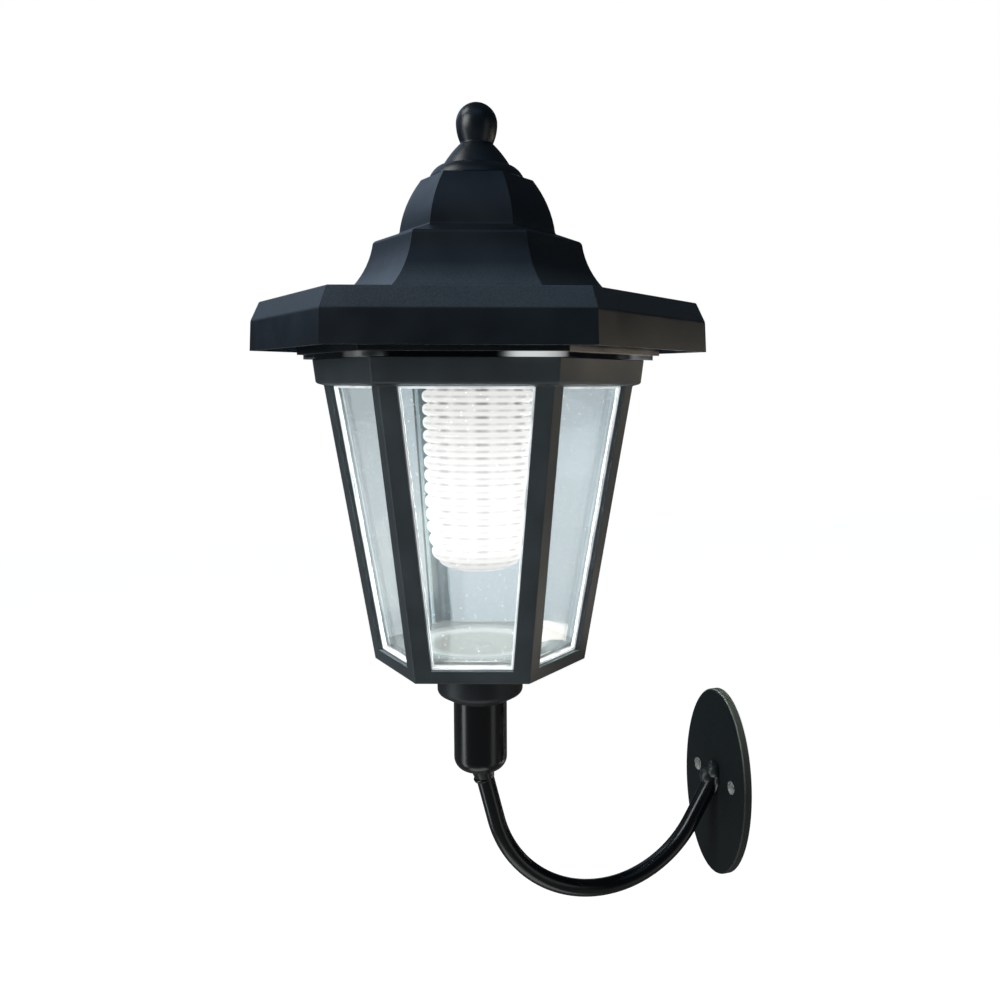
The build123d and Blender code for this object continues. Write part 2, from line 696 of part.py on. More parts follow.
def light():
    """Diode board, diode, diffuser and the ring that holds it, with the ring's screws."""
    board = rod(led_board_diameter(), LED_BOARD_FOOT, SOFFIT_RECESS)
    diode = rod(LED_D, LED_BOARD_FOOT - LED_L, LED_BOARD_FOOT)
    diode = fillet(diode.edges().group_by(Axis.Z)[0], LED_ROUND)
    ring_d = 2 * retainer_distance() + RETAINER_POST_D
    hole_d = DIFFUSER_TOP_D + 2 * (RIB_H + RETAINER_GAP)
    ring = rod(ring_d, RETAINER_FOOT, DIFFUSER_SEAT) - rod(hole_d, RETAINER_FOOT, DIFFUSER_SEAT)
    screw = pan_screw(
        RETAINER_SCREW_D,
        RETAINER_SCREW_HEAD_D,
        RETAINER_SCREW_HEAD_H,
        RETAINER_FOOT,
        RETAINER_T + RETAINER_SCREW_GRIP,
    )
    screws = []
    for place in ring_of(SCREW_COUNT, retainer_distance(), RETAINER_TURN):
        ring -= place * rod(RETAINER_SCREW_D + 2 * THREAD_GAP, RETAINER_FOOT, DIFFUSER_SEAT)
        screws.append(place * screw)
    return {
        "led_board": board,
        "led": diode,
        "ribbed_diffuser": diffuser(),
        "diffuser_ring": ring,
        "diffuser_ring_screws": Compound(screws),
    }


def cell_and_tray():
    """Rechargeable cell, its tray on the soffit and its two contacts."""
    room = tray_room()
    tray = block(room + 2 * TRAY_WALL, tray_width(), SOFFIT_TOP, TRAY_TOP)
    tray -= block(room, tray_width() - 2 * TRAY_WALL, SOFFIT_TOP + TRAY_FLOOR, TRAY_TOP)

    positive_x = room / 2 - CONTACT_T
    can_l = CELL_L - CELL_NUB_L
    along = Plane(origin=(positive_x - CELL_L, 0, CELL_Z), z_dir=(1, 0, 0))
    cell = along * (rod(CELL_D, 0, can_l) + rod(CELL_NUB_D, can_l, CELL_L))

    low = SOFFIT_TOP + TRAY_FLOOR
    high = TRAY_TOP + CONTACT_TAIL
    plate = Box(CONTACT_T, CONTACT_W, high - low, align=(Align.MIN, Align.CENTER, Align.MIN))
    positive = Pos(X=positive_x, Z=low) * plate
    back = -room / 2
    tip = back + CONTACT_T + LEAF_ROOM
    leaf = make_face(
        Polyline(
            (back, low),
            (back + CONTACT_T, low),
            (tip, CELL_Z),
            (tip - CONTACT_T, CELL_Z),
            close=True,
        )
    )
    negative = Pos(X=back, Z=low) * plate
    negative += extrude(Plane.XZ * leaf, CONTACT_W / 2, both=True)
    return {
        "cell_tray": tray,
        "battery_cell": cell,
        "positive_contact": positive,
        "negative_contact": negative,
    }


def control():
    """Control board with its components and screws."""
    x, y = board_middle()
    board = Pos(x, y) * block(BOARD_L, BOARD_W, BOARD_FOOT, BOARD_TOP)
    screws = []
    screw = Rot(X=180) * pan_screw(
        BOARD_SCREW_D, BOARD_SCREW_HEAD_D, BOARD_SCREW_HEAD_H, -BOARD_TOP, BOARD_T + BOARD_LIFT
    )
    for place in board_screw_places():
        board -= place * rod(BOARD_SCREW_D + 2 * THREAD_GAP, BOARD_FOOT, BOARD_TOP)
        screws.append(place * screw)
    row_y = y - BOARD_W / 2 + COIL_D
    chip = Pos(x, row_y) * block(CHIP_L, CHIP_W, BOARD_TOP, BOARD_TOP + CHIP_H)
    coil = Pos(x - COMPONENT_PITCH, row_y) * rod(COIL_D, BOARD_TOP, BOARD_TOP + COIL_H)
    can = Pos(x + COMPONENT_PITCH, row_y) * rod(CAN_D, BOARD_TOP, BOARD_TOP + CAN_H)
    return {
        "control_board": board,
        "board_components": Compound([chip, coil, can]),
        "board_screws": Compound(screws),
    }


def switch():
    """Slide switch: its housing on the soffit, and the slider at its first stop."""
    at = Pos(Y=switch_distance())
    cavity_l = CARRIAGE_L + SWITCH_TRAVEL + 2 * SWITCH_GAP
    cavity_w = switch_width() - 2 * SWITCH_WALL
    cavity_top = SOFFIT_TOP + CARRIAGE_H + 2 * SWITCH_GAP
    housing_l = cavity_l + 2 * SWITCH_WALL
    housing = block(housing_l, switch_width(), SOFFIT_TOP, SOFFIT_TOP + SWITCH_H)
    housing -= block(cavity_l, cavity_w, SOFFIT_TOP, cavity_top)
    carriage_low = SOFFIT_TOP + SWITCH_GAP
    slider = block(CARRIAGE_L, CARRIAGE_W, carriage_low, carriage_low + CARRIAGE_H)
    stem = block(SLIDER_L, SLIDER_W, SOFFIT_RECESS - SLIDER_DROP, carriage_low)
    slider += stem
    return {"switch_housing": at * housing, "switch_slider": at * Pos(X=-SWITCH_TRAVEL / 2) * slider}


def lead_pad(row, place):
    """Where a lead meets the control board: row 1 is the far edge, row -1 the one at the tray."""
    x, y = board_middle()
    return (x + place * LEAD_PITCH, y + row * (BOARD_W / 2 - LEAD_MARGIN))


def looped_lead(start, high, pad):
    """Lead that rises from its start, crosses at one height and comes down on the board."""
    x, y, low = start
    return lead((x, y, low), (x, y, high), (*pad, high), (*pad, BOARD_TOP), bends=LEAD_BEND)


def leads():
    """Leads from the panels, the cell, the diode board and the switch to the control board."""
    tail_top = TRAY_TOP + CONTACT_TAIL
    tail_x = (tray_room() - CONTACT_T) / 2
    over_cell = CELL_Z + CELL_D / 2 + LEAD_OVER + LEAD_D / 2
    panel_low = DECK_H - PANEL_SETTLE - PANEL_T
    under_pocket = panel_low - POCKET_FLOOR - DECK_CLEAR
    panel_x = panel_distance() * cos(radians(PANEL_FLAT))
    panel_y = panel_distance() * sin(radians(PANEL_FLAT))
    right_pad = lead_pad(-1, 3)
    past_tray = (tray_room() + LEAD_SWEEP) / 2
    right_panel = lead(
        (panel_x, panel_y, panel_low),
        (panel_x, panel_y, under_pocket),
        (past_tray, right_pad[1], under_pocket),
        (*right_pad, under_pocket),
        (*right_pad, BOARD_TOP),
        bends=[LEAD_BEND, LEAD_SWEEP, LEAD_BEND],
    )
    board_z = (BOARD_FOOT + BOARD_TOP) / 2
    switch_side = switch_distance() - switch_width() / 2
    switch_pad = lead_pad(1, -1)[0]
    board_side = board_middle()[1] + BOARD_W / 2
    switch_lead = lead(
        (0, switch_side, board_z),
        (0, switch_side - LEAD_STUB, board_z),
        (switch_pad, board_side + LEAD_STUB, board_z),
        (switch_pad, board_side, board_z),
        bends=LEAD_BEND,
    )
    return {
        "cell_lead_positive": looped_lead((tail_x, 0, tail_top), over_cell, lead_pad(1, 1)),
        "cell_lead_negative": looped_lead((-tail_x, 0, tail_top), over_cell, lead_pad(1, 0)),
        "diode_lead": looped_lead((*led_lead_hole(), SOFFIT_RECESS), LEAD_HIGH, lead_pad(1, 2)),
        "switch_lead": switch_lead,
        "panel_lead_left": looped_lead((-panel_x, -panel_y, panel_low), under_pocket, lead_pad(1, -3)),
        "panel_lead_right": right_panel,
    }


def export(pieces, place):
    """Write each piece to its own file, at its place in the lamp."""
    for name, shape in pieces.items():
        export_step(place * shape, f"parts/{name}.step")


os.makedirs("parts", exist_ok=True)
in_cup = Pos(Y=-REACH, Z=CUP_TOP) * Rot(Z=LANTERN_TURN)
on_cage = in_cup * Pos(Z=RIM_FOOT)
export(bracket(), Pos())
export(lantern(), in_cup)
for build in (roof, soffit, light, cell_and_tray, control, switch, leads):
    export(build(), on_cage)
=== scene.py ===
import json
from math import cos, pi, radians, sin, sqrt, tan
import bmesh
import bpy
from mathutils import Matrix, Vector, noise

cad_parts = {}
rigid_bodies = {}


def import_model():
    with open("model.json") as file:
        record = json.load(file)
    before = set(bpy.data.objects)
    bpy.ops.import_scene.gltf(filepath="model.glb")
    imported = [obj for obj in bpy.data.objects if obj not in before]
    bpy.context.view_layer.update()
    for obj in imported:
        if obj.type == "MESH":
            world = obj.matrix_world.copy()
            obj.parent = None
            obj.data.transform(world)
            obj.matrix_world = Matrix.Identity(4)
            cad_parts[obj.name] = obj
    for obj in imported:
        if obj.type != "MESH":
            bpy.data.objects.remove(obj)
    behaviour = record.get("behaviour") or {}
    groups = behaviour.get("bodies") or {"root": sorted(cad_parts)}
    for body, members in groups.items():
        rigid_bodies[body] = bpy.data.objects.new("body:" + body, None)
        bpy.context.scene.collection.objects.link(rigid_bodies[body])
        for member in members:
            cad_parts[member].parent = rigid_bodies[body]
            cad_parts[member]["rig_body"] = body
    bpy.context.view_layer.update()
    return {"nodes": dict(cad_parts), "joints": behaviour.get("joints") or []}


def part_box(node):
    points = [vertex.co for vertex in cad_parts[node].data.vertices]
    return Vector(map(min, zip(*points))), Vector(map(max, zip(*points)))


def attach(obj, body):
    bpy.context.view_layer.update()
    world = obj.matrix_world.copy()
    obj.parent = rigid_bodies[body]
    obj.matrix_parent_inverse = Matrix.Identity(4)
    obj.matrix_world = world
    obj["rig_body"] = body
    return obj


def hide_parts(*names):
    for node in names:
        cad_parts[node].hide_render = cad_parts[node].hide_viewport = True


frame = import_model()

# Solar wall light, lit, against white. Metres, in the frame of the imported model:
# the wall is on the +Y side, and the lantern stands out towards -Y.
MM = 0.001
SIDES = 6

# Camera, at the photograph's viewing angle
CAMERA_PLACE = (0.3158, -0.1750, 0.1373)
CAMERA_YAW = 69.77          # degrees from +Y, to the left
CAMERA_PITCH = -6.39
CAMERA_ROLL = -0.16
CAMERA_LENS = 37.7          # mm
CAMERA_SENSOR = 36          # mm
CAMERA_SHIFT = -0.0657
CAMERA_CLIP = 0.01
TO_RIGHT = Vector((cos(radians(CAMERA_YAW)), sin(radians(CAMERA_YAW)), 0))
AHEAD = Vector((-sin(radians(CAMERA_YAW)), cos(radians(CAMERA_YAW)), 0))
UP = Vector((0, 0, 1))

# Lantern: its axis and turn, the levels of its windows and the slope of its posts
LANTERN_TURN = radians(10)
AXIS_FOOT = Vector(next(j["pos_m"] for j in frame["joints"] if j["name"] == "lantern_turn"))
CAGE_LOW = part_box("cage")[0].z
CAGE_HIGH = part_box("cage")[1].z
WINDOW_LOW = CAGE_LOW + 3.9 * MM
WINDOW_HIGH = CAGE_HIGH - 7.9 * MM
CAGE_FOOT_FLAT = 33.4 * MM * cos(pi / SIDES)
CAGE_TOP_FLAT = 47.9 * MM * cos(pi / SIDES)
POST_FACE = 5.1 * MM
RIM_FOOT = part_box("roof_shell")[0].z

# Clear liner: its floor and flange, and where light is painted on it
LINER_INSET = 2.7 * MM      # from the cage's outer face to the liner
LINER_FLOOR = CAGE_LOW + 6.3 * MM
FLANGE_LIP = 0.4 * MM
FLOOR_CORE_R = 24 * MM      # the floor's outer edge is all outside this
GLEAM_TURN = LANTERN_TURN - radians(8)
POOL_START_R = 12 * MM
POOL_FULL_R = 19 * MM
POOL_END_R = 21 * MM        # the round step in the floor
VEIL_HEART = Vector((AXIS_FOOT.x, AXIS_FOOT.y, RIM_FOOT - 50 * MM))
VEIL_NEAR = 33 * MM
VEIL_FAR = 52 * MM

# Raised borders round the panes
BORDER_GAP = 0.1 * MM
BORDER_W = 0.6 * MM
BORDER_T = 1.3 * MM
BORDER_SUNK = 0.03 * MM
BORDER_ROUND = 0.18 * MM

# Diffuser: radii and depths below the rim, with its ribs and the flutes of its bore
RIB_COUNT = 15
RIB_TOP = RIM_FOOT - 3.5 * MM
RIB_FOOT = RIM_FOOT - 64.3 * MM
RIB_PITCH = (RIB_TOP - RIB_FOOT) / RIB_COUNT
RIB_H = 1.7 * MM
TUBE_TOP_R = 15.95 * MM
TUBE_WAIST_R = 15.05 * MM
TUBE_WAIST = 44 * MM
TUBE_FOOT_R = 12.55 * MM
TUBE_WALL = 1.6 * MM
TUBE_FLANGE_R = 20.5 * MM
TUBE_FLANGE_T = 1.5 * MM
FLUTES = 16
FLUTE_TURN = radians(-11.5)
FLUTE_DEPTH = 0.2 * MM
LAMPLIGHT = "#fff6f0"       # cool panes bring it to a neutral white
# heights of the painted grey lines and painted glow on the diffuser
LINES_FAINT = RIB_TOP - 38 * MM
LINES_FULL = RIB_TOP - 12 * MM
BRIGHTEST = RIB_TOP - 40 * MM
END_DIM = RIB_FOOT - 2 * MM
END_BRIGHT = RIB_FOOT + 4 * MM

# Solar panels: one on each of two opposite flats of the deck
PANEL_TURN = radians(-20)
CELL_PITCH = 10 * MM
CELL_GAP = 0.5 * MM
CELL_HALF_W = 6.5 * MM
CELLS_HALF_L = 20 * MM
FINGER_PITCH = 1.25 * MM
FINGER_W = 0.16 * MM        # printed finer, but drawn so that it shows
BUSBAR_W = 0.9 * MM
panel_low, panel_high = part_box("solar_panel_right")
PANEL_MIDDLE = ((panel_low + panel_high) / 2 - AXIS_FOOT).to_2d().length

# Bracket, with the welds at both ends of its arm
ARM_R = 2.9 * MM
ARM_CLIMB = radians(60)
ARM_LEAN = radians(14.2)
PLATE_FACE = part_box("wall_plate")[0].y
PLATE_PAINTED_LIGHT_FROM = 22 * MM        # from this height up the plate's rim is palest and its painted edge highlight fullest, both painted light
SCREW_SPACING = 24.5 * MM
SCREW_HOLE_R = 2.1 * MM
CHIP_W = 0.25 * MM
CUP_FOOT = AXIS_FOOT.z - 23.3 * MM
NECK_L = 3.2 * MM
BEAD_STEPS = 144
BEAD_SIDES = 18
BEAD_LOW = 0.8 * MM         # from the screw holes down to the middle of the plate's bead
BEAD_OUT = 0.3 * MM
PLATE_BEAD_R = 1.3 * MM
CUP_BEAD_R = 0.7 * MM
BEAD_TUCK = 0.2 * MM        # from the arm's surface to the path of a bead
LUMP_STRETCH = 1.15
WELD_LUMPS = (              # across, out of the plate, up, and radius
    (-0.4 * MM, 2.4 * MM, 0.0, 2.7 * MM),
    (1.4 * MM, 0.9 * MM, 2.4 * MM, 2.5 * MM),
)

# Screws, mostly as shares of the head or the shank
HEAD_H = 0.68               # of the head's radius
HEAD_HEART = 0.03           # of the head's radius, the smallest ring of the crown
RECESS_L = 0.58             # of the head's radius
RECESS_W = 0.13             # of the head's radius
RECESS_DEPTH = 0.7          # of the head's height
RECESS_RISE = 0.6           # of the recess's depth, lost towards its ends
CROWN_H = 0.55              # of the head's height
CROWN_POWER = 3.4
THREAD_ROOT = 0.8           # of the shank's radius
SCREW_TIP = 0.4             # of the shank's radius
THREAD_STEP = 0.5 * MM

# Rounded edges
SAME_POINT = 0.002 * MM
SAME_FLAT = radians(0.5)
CRISP_CORNER = radians(25)
ALL_CORNERS = (22, 181)     # degrees
ANY_SLOPE = 2.0             # an upright edge has slope 1

# Patterns in the finishes
NOISE_LOW = 0.3             # most of a noise lies between these two
NOISE_HIGH = 0.7
CLOUD_W = 14 * MM
# blue-grey of dusting and of a painted sheen on faces that look up
SHEEN_AND_DUST = "#7f8d9c"
DUST_SHEEN_THICK_TO = RIM_FOOT + 18 * MM  # painted sheen and dusting lie thick up to here, and hardly at all from the next height up
DUST_SHEEN_GONE_FROM = RIM_FOOT + 24 * MM
SPECK_PITCH = 1.4 * MM
HAZE_W = 9 * MM
RIPPLE_W = 16 * MM
STREAK_L = 7 * MM
BREAK_L = 5 * MM
CRYSTAL_W = 3.5 * MM
EPOXY_RIPPLE_W = 6 * MM
GRIT_W = 0.6 * MM

# Room and lamps
ROOM = "#2b3138"
FLOOR_Z = -0.8
FLOOR_HALF = 6.0
FLOOR_PALE = 0.9
FLOOR_GLOSS = 0.12          # gloss sees the floor this bright, so that black paint stays black
FLOOR_GLOW = 0.97
DIODE_WATTS = 1.1
DIODE_SPREAD = 10 * MM
DIODE_DROP = 40 * MM        # the diode's light comes from the middle of the tube, below the rim
LAMPS_AIM = Vector((AXIS_FOOT.x, AXIS_FOOT.y, 0.13))


def colour(code):
    """Linear colour from an sRGB hex value."""
    channels = [int(code[k:k + 2], 16) / 255 for k in (1, 3, 5)]
    linear = [c / 12.92 if c <= 0.04045 else ((c + 0.055) / 1.055) ** 2.4 for c in channels]
    return (*linear, 1.0)


def add(tree, kind, inputs=None, family="ShaderNode", **settings):
    """Adds a node; an input is a value, a socket, or a node, which gives its first live output.

    Sockets by number: Map Range has its value at 0, the span it reads at 1 and 2, and the span it
    gives at 3 and 4; a colour Mix has its share at 0 and its two colours at 6 and 7.
    """
    made = tree.nodes.new(family + kind)
    for name, value in settings.items():
        setattr(made, name, value)
    for key, value in (inputs or {}).items():
        if isinstance(value, bpy.types.Node):
            value = next(socket for socket in value.outputs if socket.enabled)
        if isinstance(value, bpy.types.NodeSocket):
            tree.links.new(value, made.inputs[key])
        else:
            made.inputs[key].default_value = value
    return made


def new_material(name):
    """Empty node material and its tree."""
    made = bpy.data.materials.new(name)
    made.use_nodes = True
    made.node_tree.nodes.clear()
    return made, made.node_tree


def dust_and_painted_sheen(tree, place, fine, amount):
    """Share of pale dusting and painted sheen: on what faces up, in patches, and fading out higher up the
    roof.
    """
    facing = add(tree, "SeparateXYZ", {0: add(tree, "NewGeometry").outputs["Normal"]}).outputs["Z"]
    dust_sheen_share = add(tree, "MapRange", {0: facing, 1: 0.2, 2: 0.5, 3: 0, 4: amount})
    patchy = add(tree, "MapRange", {0: fine, 1: 0.35, 2: 0.65, 3: 0.4, 4: 1})
    height = add(tree, "SeparateXYZ", {0: place}).outputs["Z"]
    fades_up = add(tree, "MapRange", {0: height, 1: DUST_SHEEN_THICK_TO, 2: DUST_SHEEN_GONE_FROM, 3: 1, 4: 0.05})
    for part in (patchy, fades_up):
        dust_sheen_share = add(tree, "Math", {0: dust_sheen_share, 1: part}, operation="MULTIPLY")
    return dust_sheen_share


def moulded(name, dark, light, roughness, grain, depth, dust_and_sheen=0.0, specular=0.5):
    """Moulded plastic or sprayed paint: fine grain, and faint clouds in its colour and gloss."""
    made, tree = new_material(name)
    place = add(tree, "TexCoord").outputs["Object"]
    cloud = add(tree, "TexNoise", {"Vector": place, "Scale": 1 / CLOUD_W, "Detail": 2.0})
    cloud = add(tree, "MapRange", {0: cloud, 1: NOISE_LOW, 2: NOISE_HIGH})
    fine = add(tree, "TexNoise", {"Vector": place, "Scale": 1 / grain, "Detail": 3.0})
    shade = add(tree, "Mix", {0: cloud, 6: colour(dark), 7: colour(light)}, data_type="RGBA")
    # pale dusting, with a painted sheen, on faces that look up
    if dust_and_sheen:
        dust_sheen_share = dust_and_painted_sheen(tree, place, fine, dust_and_sheen)
        shade = add(tree, "Mix", {0: dust_sheen_share, 6: shade, 7: colour(SHEEN_AND_DUST)}, data_type="RGBA")
    shader = add(tree, "BsdfPrincipled", {
        "Base Color": shade,
        "Roughness": add(tree, "MapRange", {0: cloud, 3: roughness - 0.05, 4: roughness + 0.05}),
        "Normal": add(tree, "Bump", {"Strength": 0.5, "Distance": depth, "Height": fine}),
        "IOR": 1.52,
        "Specular IOR Level": specular,
    })
    add(tree, "OutputMaterial", {"Surface": shader})
    return made


def metal(name, dark, light, roughness, grain):
    """Plated metal, with fine clouds in its colour and gloss."""
    made, tree = new_material(name)
    place = add(tree, "TexCoord").outputs["Object"]
    cloud = add(tree, "TexNoise", {"Vector": place, "Scale": 1 / grain, "Detail": 4.0})
    share = add(tree, "MapRange", {0: cloud, 1: NOISE_LOW, 2: NOISE_HIGH})
    shader = add(tree, "BsdfPrincipled", {
        "Base Color": add(tree, "Mix", {0: share, 6: colour(dark), 7: colour(light)}, data_type="RGBA"),
        "Roughness": add(tree, "MapRange", {0: share, 3: roughness - 0.08, 4: roughness + 0.08}),
        "Metallic": 1.0,
    })
    add(tree, "OutputMaterial", {"Surface": shader})
    return made


def from_axis(tree, place):
    """Level vector from the lantern's axis."""
    way = add(tree, "VectorMath", {0: place, 1: AXIS_FOOT}, operation="SUBTRACT")
    return add(tree, "VectorMath", {0: way, 1: (1, 1, 0)}, operation="MULTIPLY")


def turn_about_axis(tree, place):
    """Angle about the lantern's axis."""
    part = add(tree, "SeparateXYZ", {0: from_axis(tree, place)})
    return add(tree, "Math", {0: part.outputs["Y"], 1: part.outputs["X"]}, operation="ARCTAN2")


def waves(tree, turn, count, start):
    """Cosine with this many waves round the axis, at its highest where it starts."""
    phase = add(tree, "Math", {0: turn, 1: count, 2: -count * start}, operation="MULTIPLY_ADD")
    return add(tree, "Math", {0: phase}, operation="COSINE")


def lets_lamps_through(tree, shader, tint="#ffffff"):
    """Output of a clear material that doesn't stop the light of lamps."""
    through = add(tree, "BsdfTransparent", {"Color": colour(tint)})
    lamp_ray = add(tree, "LightPath").outputs["Is Shadow Ray"]
    add(tree, "OutputMaterial", {"Surface": add(tree, "MixShader", {0: lamp_ray, 1: shader, 2: through})})


def liner_tint(tree, height, above_floor, flange, outer):
    """Tint of the liner: cool panes, a warm floor, and painted shade that greys the floor's outer side and
    darkens the flange.
    """
    low, high = LINER_FLOOR - 0.3 * MM, LINER_FLOOR - 0.1 * MM
    side = add(tree, "MapRange", {0: height, 1: low, 2: high, 3: 1, 4: 0})
    side = add(tree, "Math", {0: side, 1: outer}, operation="MULTIPLY")
    tint = add(tree, "Mix", {0: above_floor, 6: colour("#cdcbc7"), 7: colour("#d8e0e3")}, data_type="RGBA")
    # painted shade on the clear flange and on the floor's outer side
    tint = add(tree, "Mix", {0: flange, 6: tint, 7: colour("#3a4144")}, data_type="RGBA")
    return add(tree, "Mix", {0: side, 6: tint, 7: colour("#5f6669")}, data_type="RGBA")


def flange_gleam(tree, place, flange):
    """Painted glow of the flange at its corners, and mostly at one of them."""
    turn = turn_about_axis(tree, place)
    corner = add(tree, "MapRange", {
        0: waves(tree, turn, SIDES, GLEAM_TURN), 1: 0.45, 2: 1.0, 3: 0, 4: 0.55,
    }, interpolation_type="SMOOTHERSTEP")
    one = add(tree, "MapRange", {0: waves(tree, turn, 1, GLEAM_TURN), 1: 0.5, 2: 1.0, 3: 0.12, 4: 1})
    for part in (corner, one):
        flange = add(tree, "Math", {0: flange, 1: part}, operation="MULTIPLY")
    return flange


def floor_edge(tree, height, outer, haze):
    """Uneven painted glow of the floor's outer edge, on the side that faces out."""
    low, high = WINDOW_LOW + 1.0 * MM, WINDOW_LOW + 1.5 * MM
    edge = add(tree, "MapRange", {0: height, 1: low, 2: high, 3: 1, 4: 0})
    uneven = add(tree, "MapRange", {0: haze, 1: 0.35, 2: 0.55, 3: 0.2, 4: 0.9})
    behind = add(tree, "NewGeometry").outputs["Backfacing"]
    before = add(tree, "Math", {0: 1.0, 1: behind}, operation="SUBTRACT")
    for part in (outer, uneven, before):
        edge = add(tree, "Math", {0: edge, 1: part}, operation="MULTIPLY")
    return edge


def floor_pool(tree, reach):
    """Painted pool of light on the floor, brightest at its round step."""
    pool = add(tree, "MapRange", {
        0: reach, 1: POOL_START_R, 2: POOL_FULL_R, 3: 0.0, 4: 0.22,
    }, interpolation_type="SMOOTHSTEP")
    inside = add(tree, "Math", {0: reach, 1: POOL_END_R}, operation="LESS_THAN")
    return add(tree, "Math", {0: pool, 1: inside}, operation="MULTIPLY")


def pane_veil(tree, place, height):
    """Painted glow in the panes near the lamp, with a few dusty specks painted as glints."""
    from_lamp = add(tree, "VectorMath", {0: place, 1: VEIL_HEART}, operation="DISTANCE").outputs["Value"]
    veil = add(tree, "MapRange", {
        0: from_lamp, 1: VEIL_NEAR, 2: VEIL_FAR, 3: 0.045, 4: 0.01,
    }, interpolation_type="SMOOTHSTEP")
    speck = add(tree, "TexVoronoi", {"Vector": place, "Scale": 1 / SPECK_PITCH})
    dust_and_sheen = add(tree, "MapRange", {0: speck.outputs["Distance"], 1: 0.1, 2: 0.22, 3: 1, 4: 0})
    few = add(tree, "SeparateColor", {0: speck.outputs["Color"]}).outputs["Red"]
    few = add(tree, "MapRange", {0: few, 1: 0.5, 2: 1.0, 3: 0, 4: 0.4})
    dust_and_sheen = add(tree, "Math", {0: dust_and_sheen, 1: few}, operation="MULTIPLY")
    veil = add(tree, "Math", {0: veil, 1: dust_and_sheen}, operation="MAXIMUM")
    below_flange = add(tree, "Math", {0: height, 1: CAGE_HIGH}, operation="LESS_THAN")
    return add(tree, "Math", {0: veil, 1: below_flange}, operation="MULTIPLY")


def clear_styrene():
    """Clear liner, with a hazy floor; where the floor's edge and the flange would pipe the lamp's light,
    their glow is painted on, as are a pool of light on the floor and a faint glow in the panes.
    """
    made, tree = new_material("clear_polystyrene_moulded")
    place = add(tree, "TexCoord").outputs["Object"]
    height = add(tree, "SeparateXYZ", {0: place}).outputs["Z"]
    low, high = LINER_FLOOR - 0.2 * MM, LINER_FLOOR + 0.3 * MM
    above_floor = add(tree, "MapRange", {0: height, 1: low, 2: high})
    flange = add(tree, "MapRange", {0: height, 1: CAGE_HIGH - FLANGE_LIP, 2: CAGE_HIGH})
    reach = add(tree, "VectorMath", {0: from_axis(tree, place)}, operation="LENGTH").outputs["Value"]
    outer = add(tree, "Math", {0: reach, 1: FLOOR_CORE_R}, operation="GREATER_THAN")
    haze = add(tree, "TexNoise", {"Vector": place, "Scale": 1 / HAZE_W, "Detail": 2.0})
    ripple = add(tree, "TexNoise", {"Vector": place, "Scale": 1 / RIPPLE_W, "Detail": 0.0})
    glow = flange_gleam(tree, place, flange)
    edge = floor_edge(tree, height, outer, haze)
    pool = floor_pool(tree, reach)
    veil = pane_veil(tree, place, height)
    for part in (edge, pool, veil):
        glow = add(tree, "Math", {0: glow, 1: part}, operation="MAXIMUM")
    glass = add(tree, "BsdfPrincipled", {
        "Base Color": liner_tint(tree, height, above_floor, flange, outer),
        "Roughness": add(tree, "MapRange", {0: haze, 1: NOISE_LOW, 2: NOISE_HIGH, 3: 0, 4: 0.06}),
        "Transmission Weight": add(tree, "MapRange", {0: above_floor, 3: 0.93, 4: 1}),
        "IOR": 1.5,
        "Specular IOR Level": 0.3,
        "Normal": add(tree, "Bump", {"Strength": 0.25, "Distance": 0.05 * MM, "Height": ripple}),
        "Emission Color": colour("#f8faf9"),
        "Emission Strength": glow,
    })
    lets_lamps_through(tree, glass, "#e6eef1")
    return made


def lit_edge():
    """Raised borders of the panes, pale, with an uneven painted glow for the lamp's light they carry, most
    on the faces that look outward.
    """
    made, tree = new_material("clear_polystyrene_lit_edge")
    place = add(tree, "TexCoord").outputs["Object"]
    streak = add(tree, "TexNoise", {"Vector": place, "Scale": 1 / STREAK_L, "Detail": 2.0})
    streak = add(tree, "MapRange", {0: streak, 1: NOISE_LOW, 2: NOISE_HIGH, 3: 0.3, 4: 0.8})
    outward = add(tree, "VectorMath", {0: from_axis(tree, place)}, operation="NORMALIZE")
    normal = add(tree, "NewGeometry").outputs["Normal"]
    facing = add(tree, "VectorMath", {0: outward, 1: normal}, operation="DOT_PRODUCT").outputs["Value"]
    facing = add(tree, "MapRange", {0: facing, 1: -0.1, 2: 0.7, 3: 0.08, 4: 1})
    shader = add(tree, "BsdfPrincipled", {
        "Base Color": colour("#c9d0d2"),
        "Roughness": 0.12,
        "IOR": 1.5,
        "Emission Color": colour("#f7f9f9"),
        "Emission Strength": add(tree, "Math", {0: streak, 1: facing}, operation="MULTIPLY"),
    })
    add(tree, "OutputMaterial", {"Surface": shader})
    return made


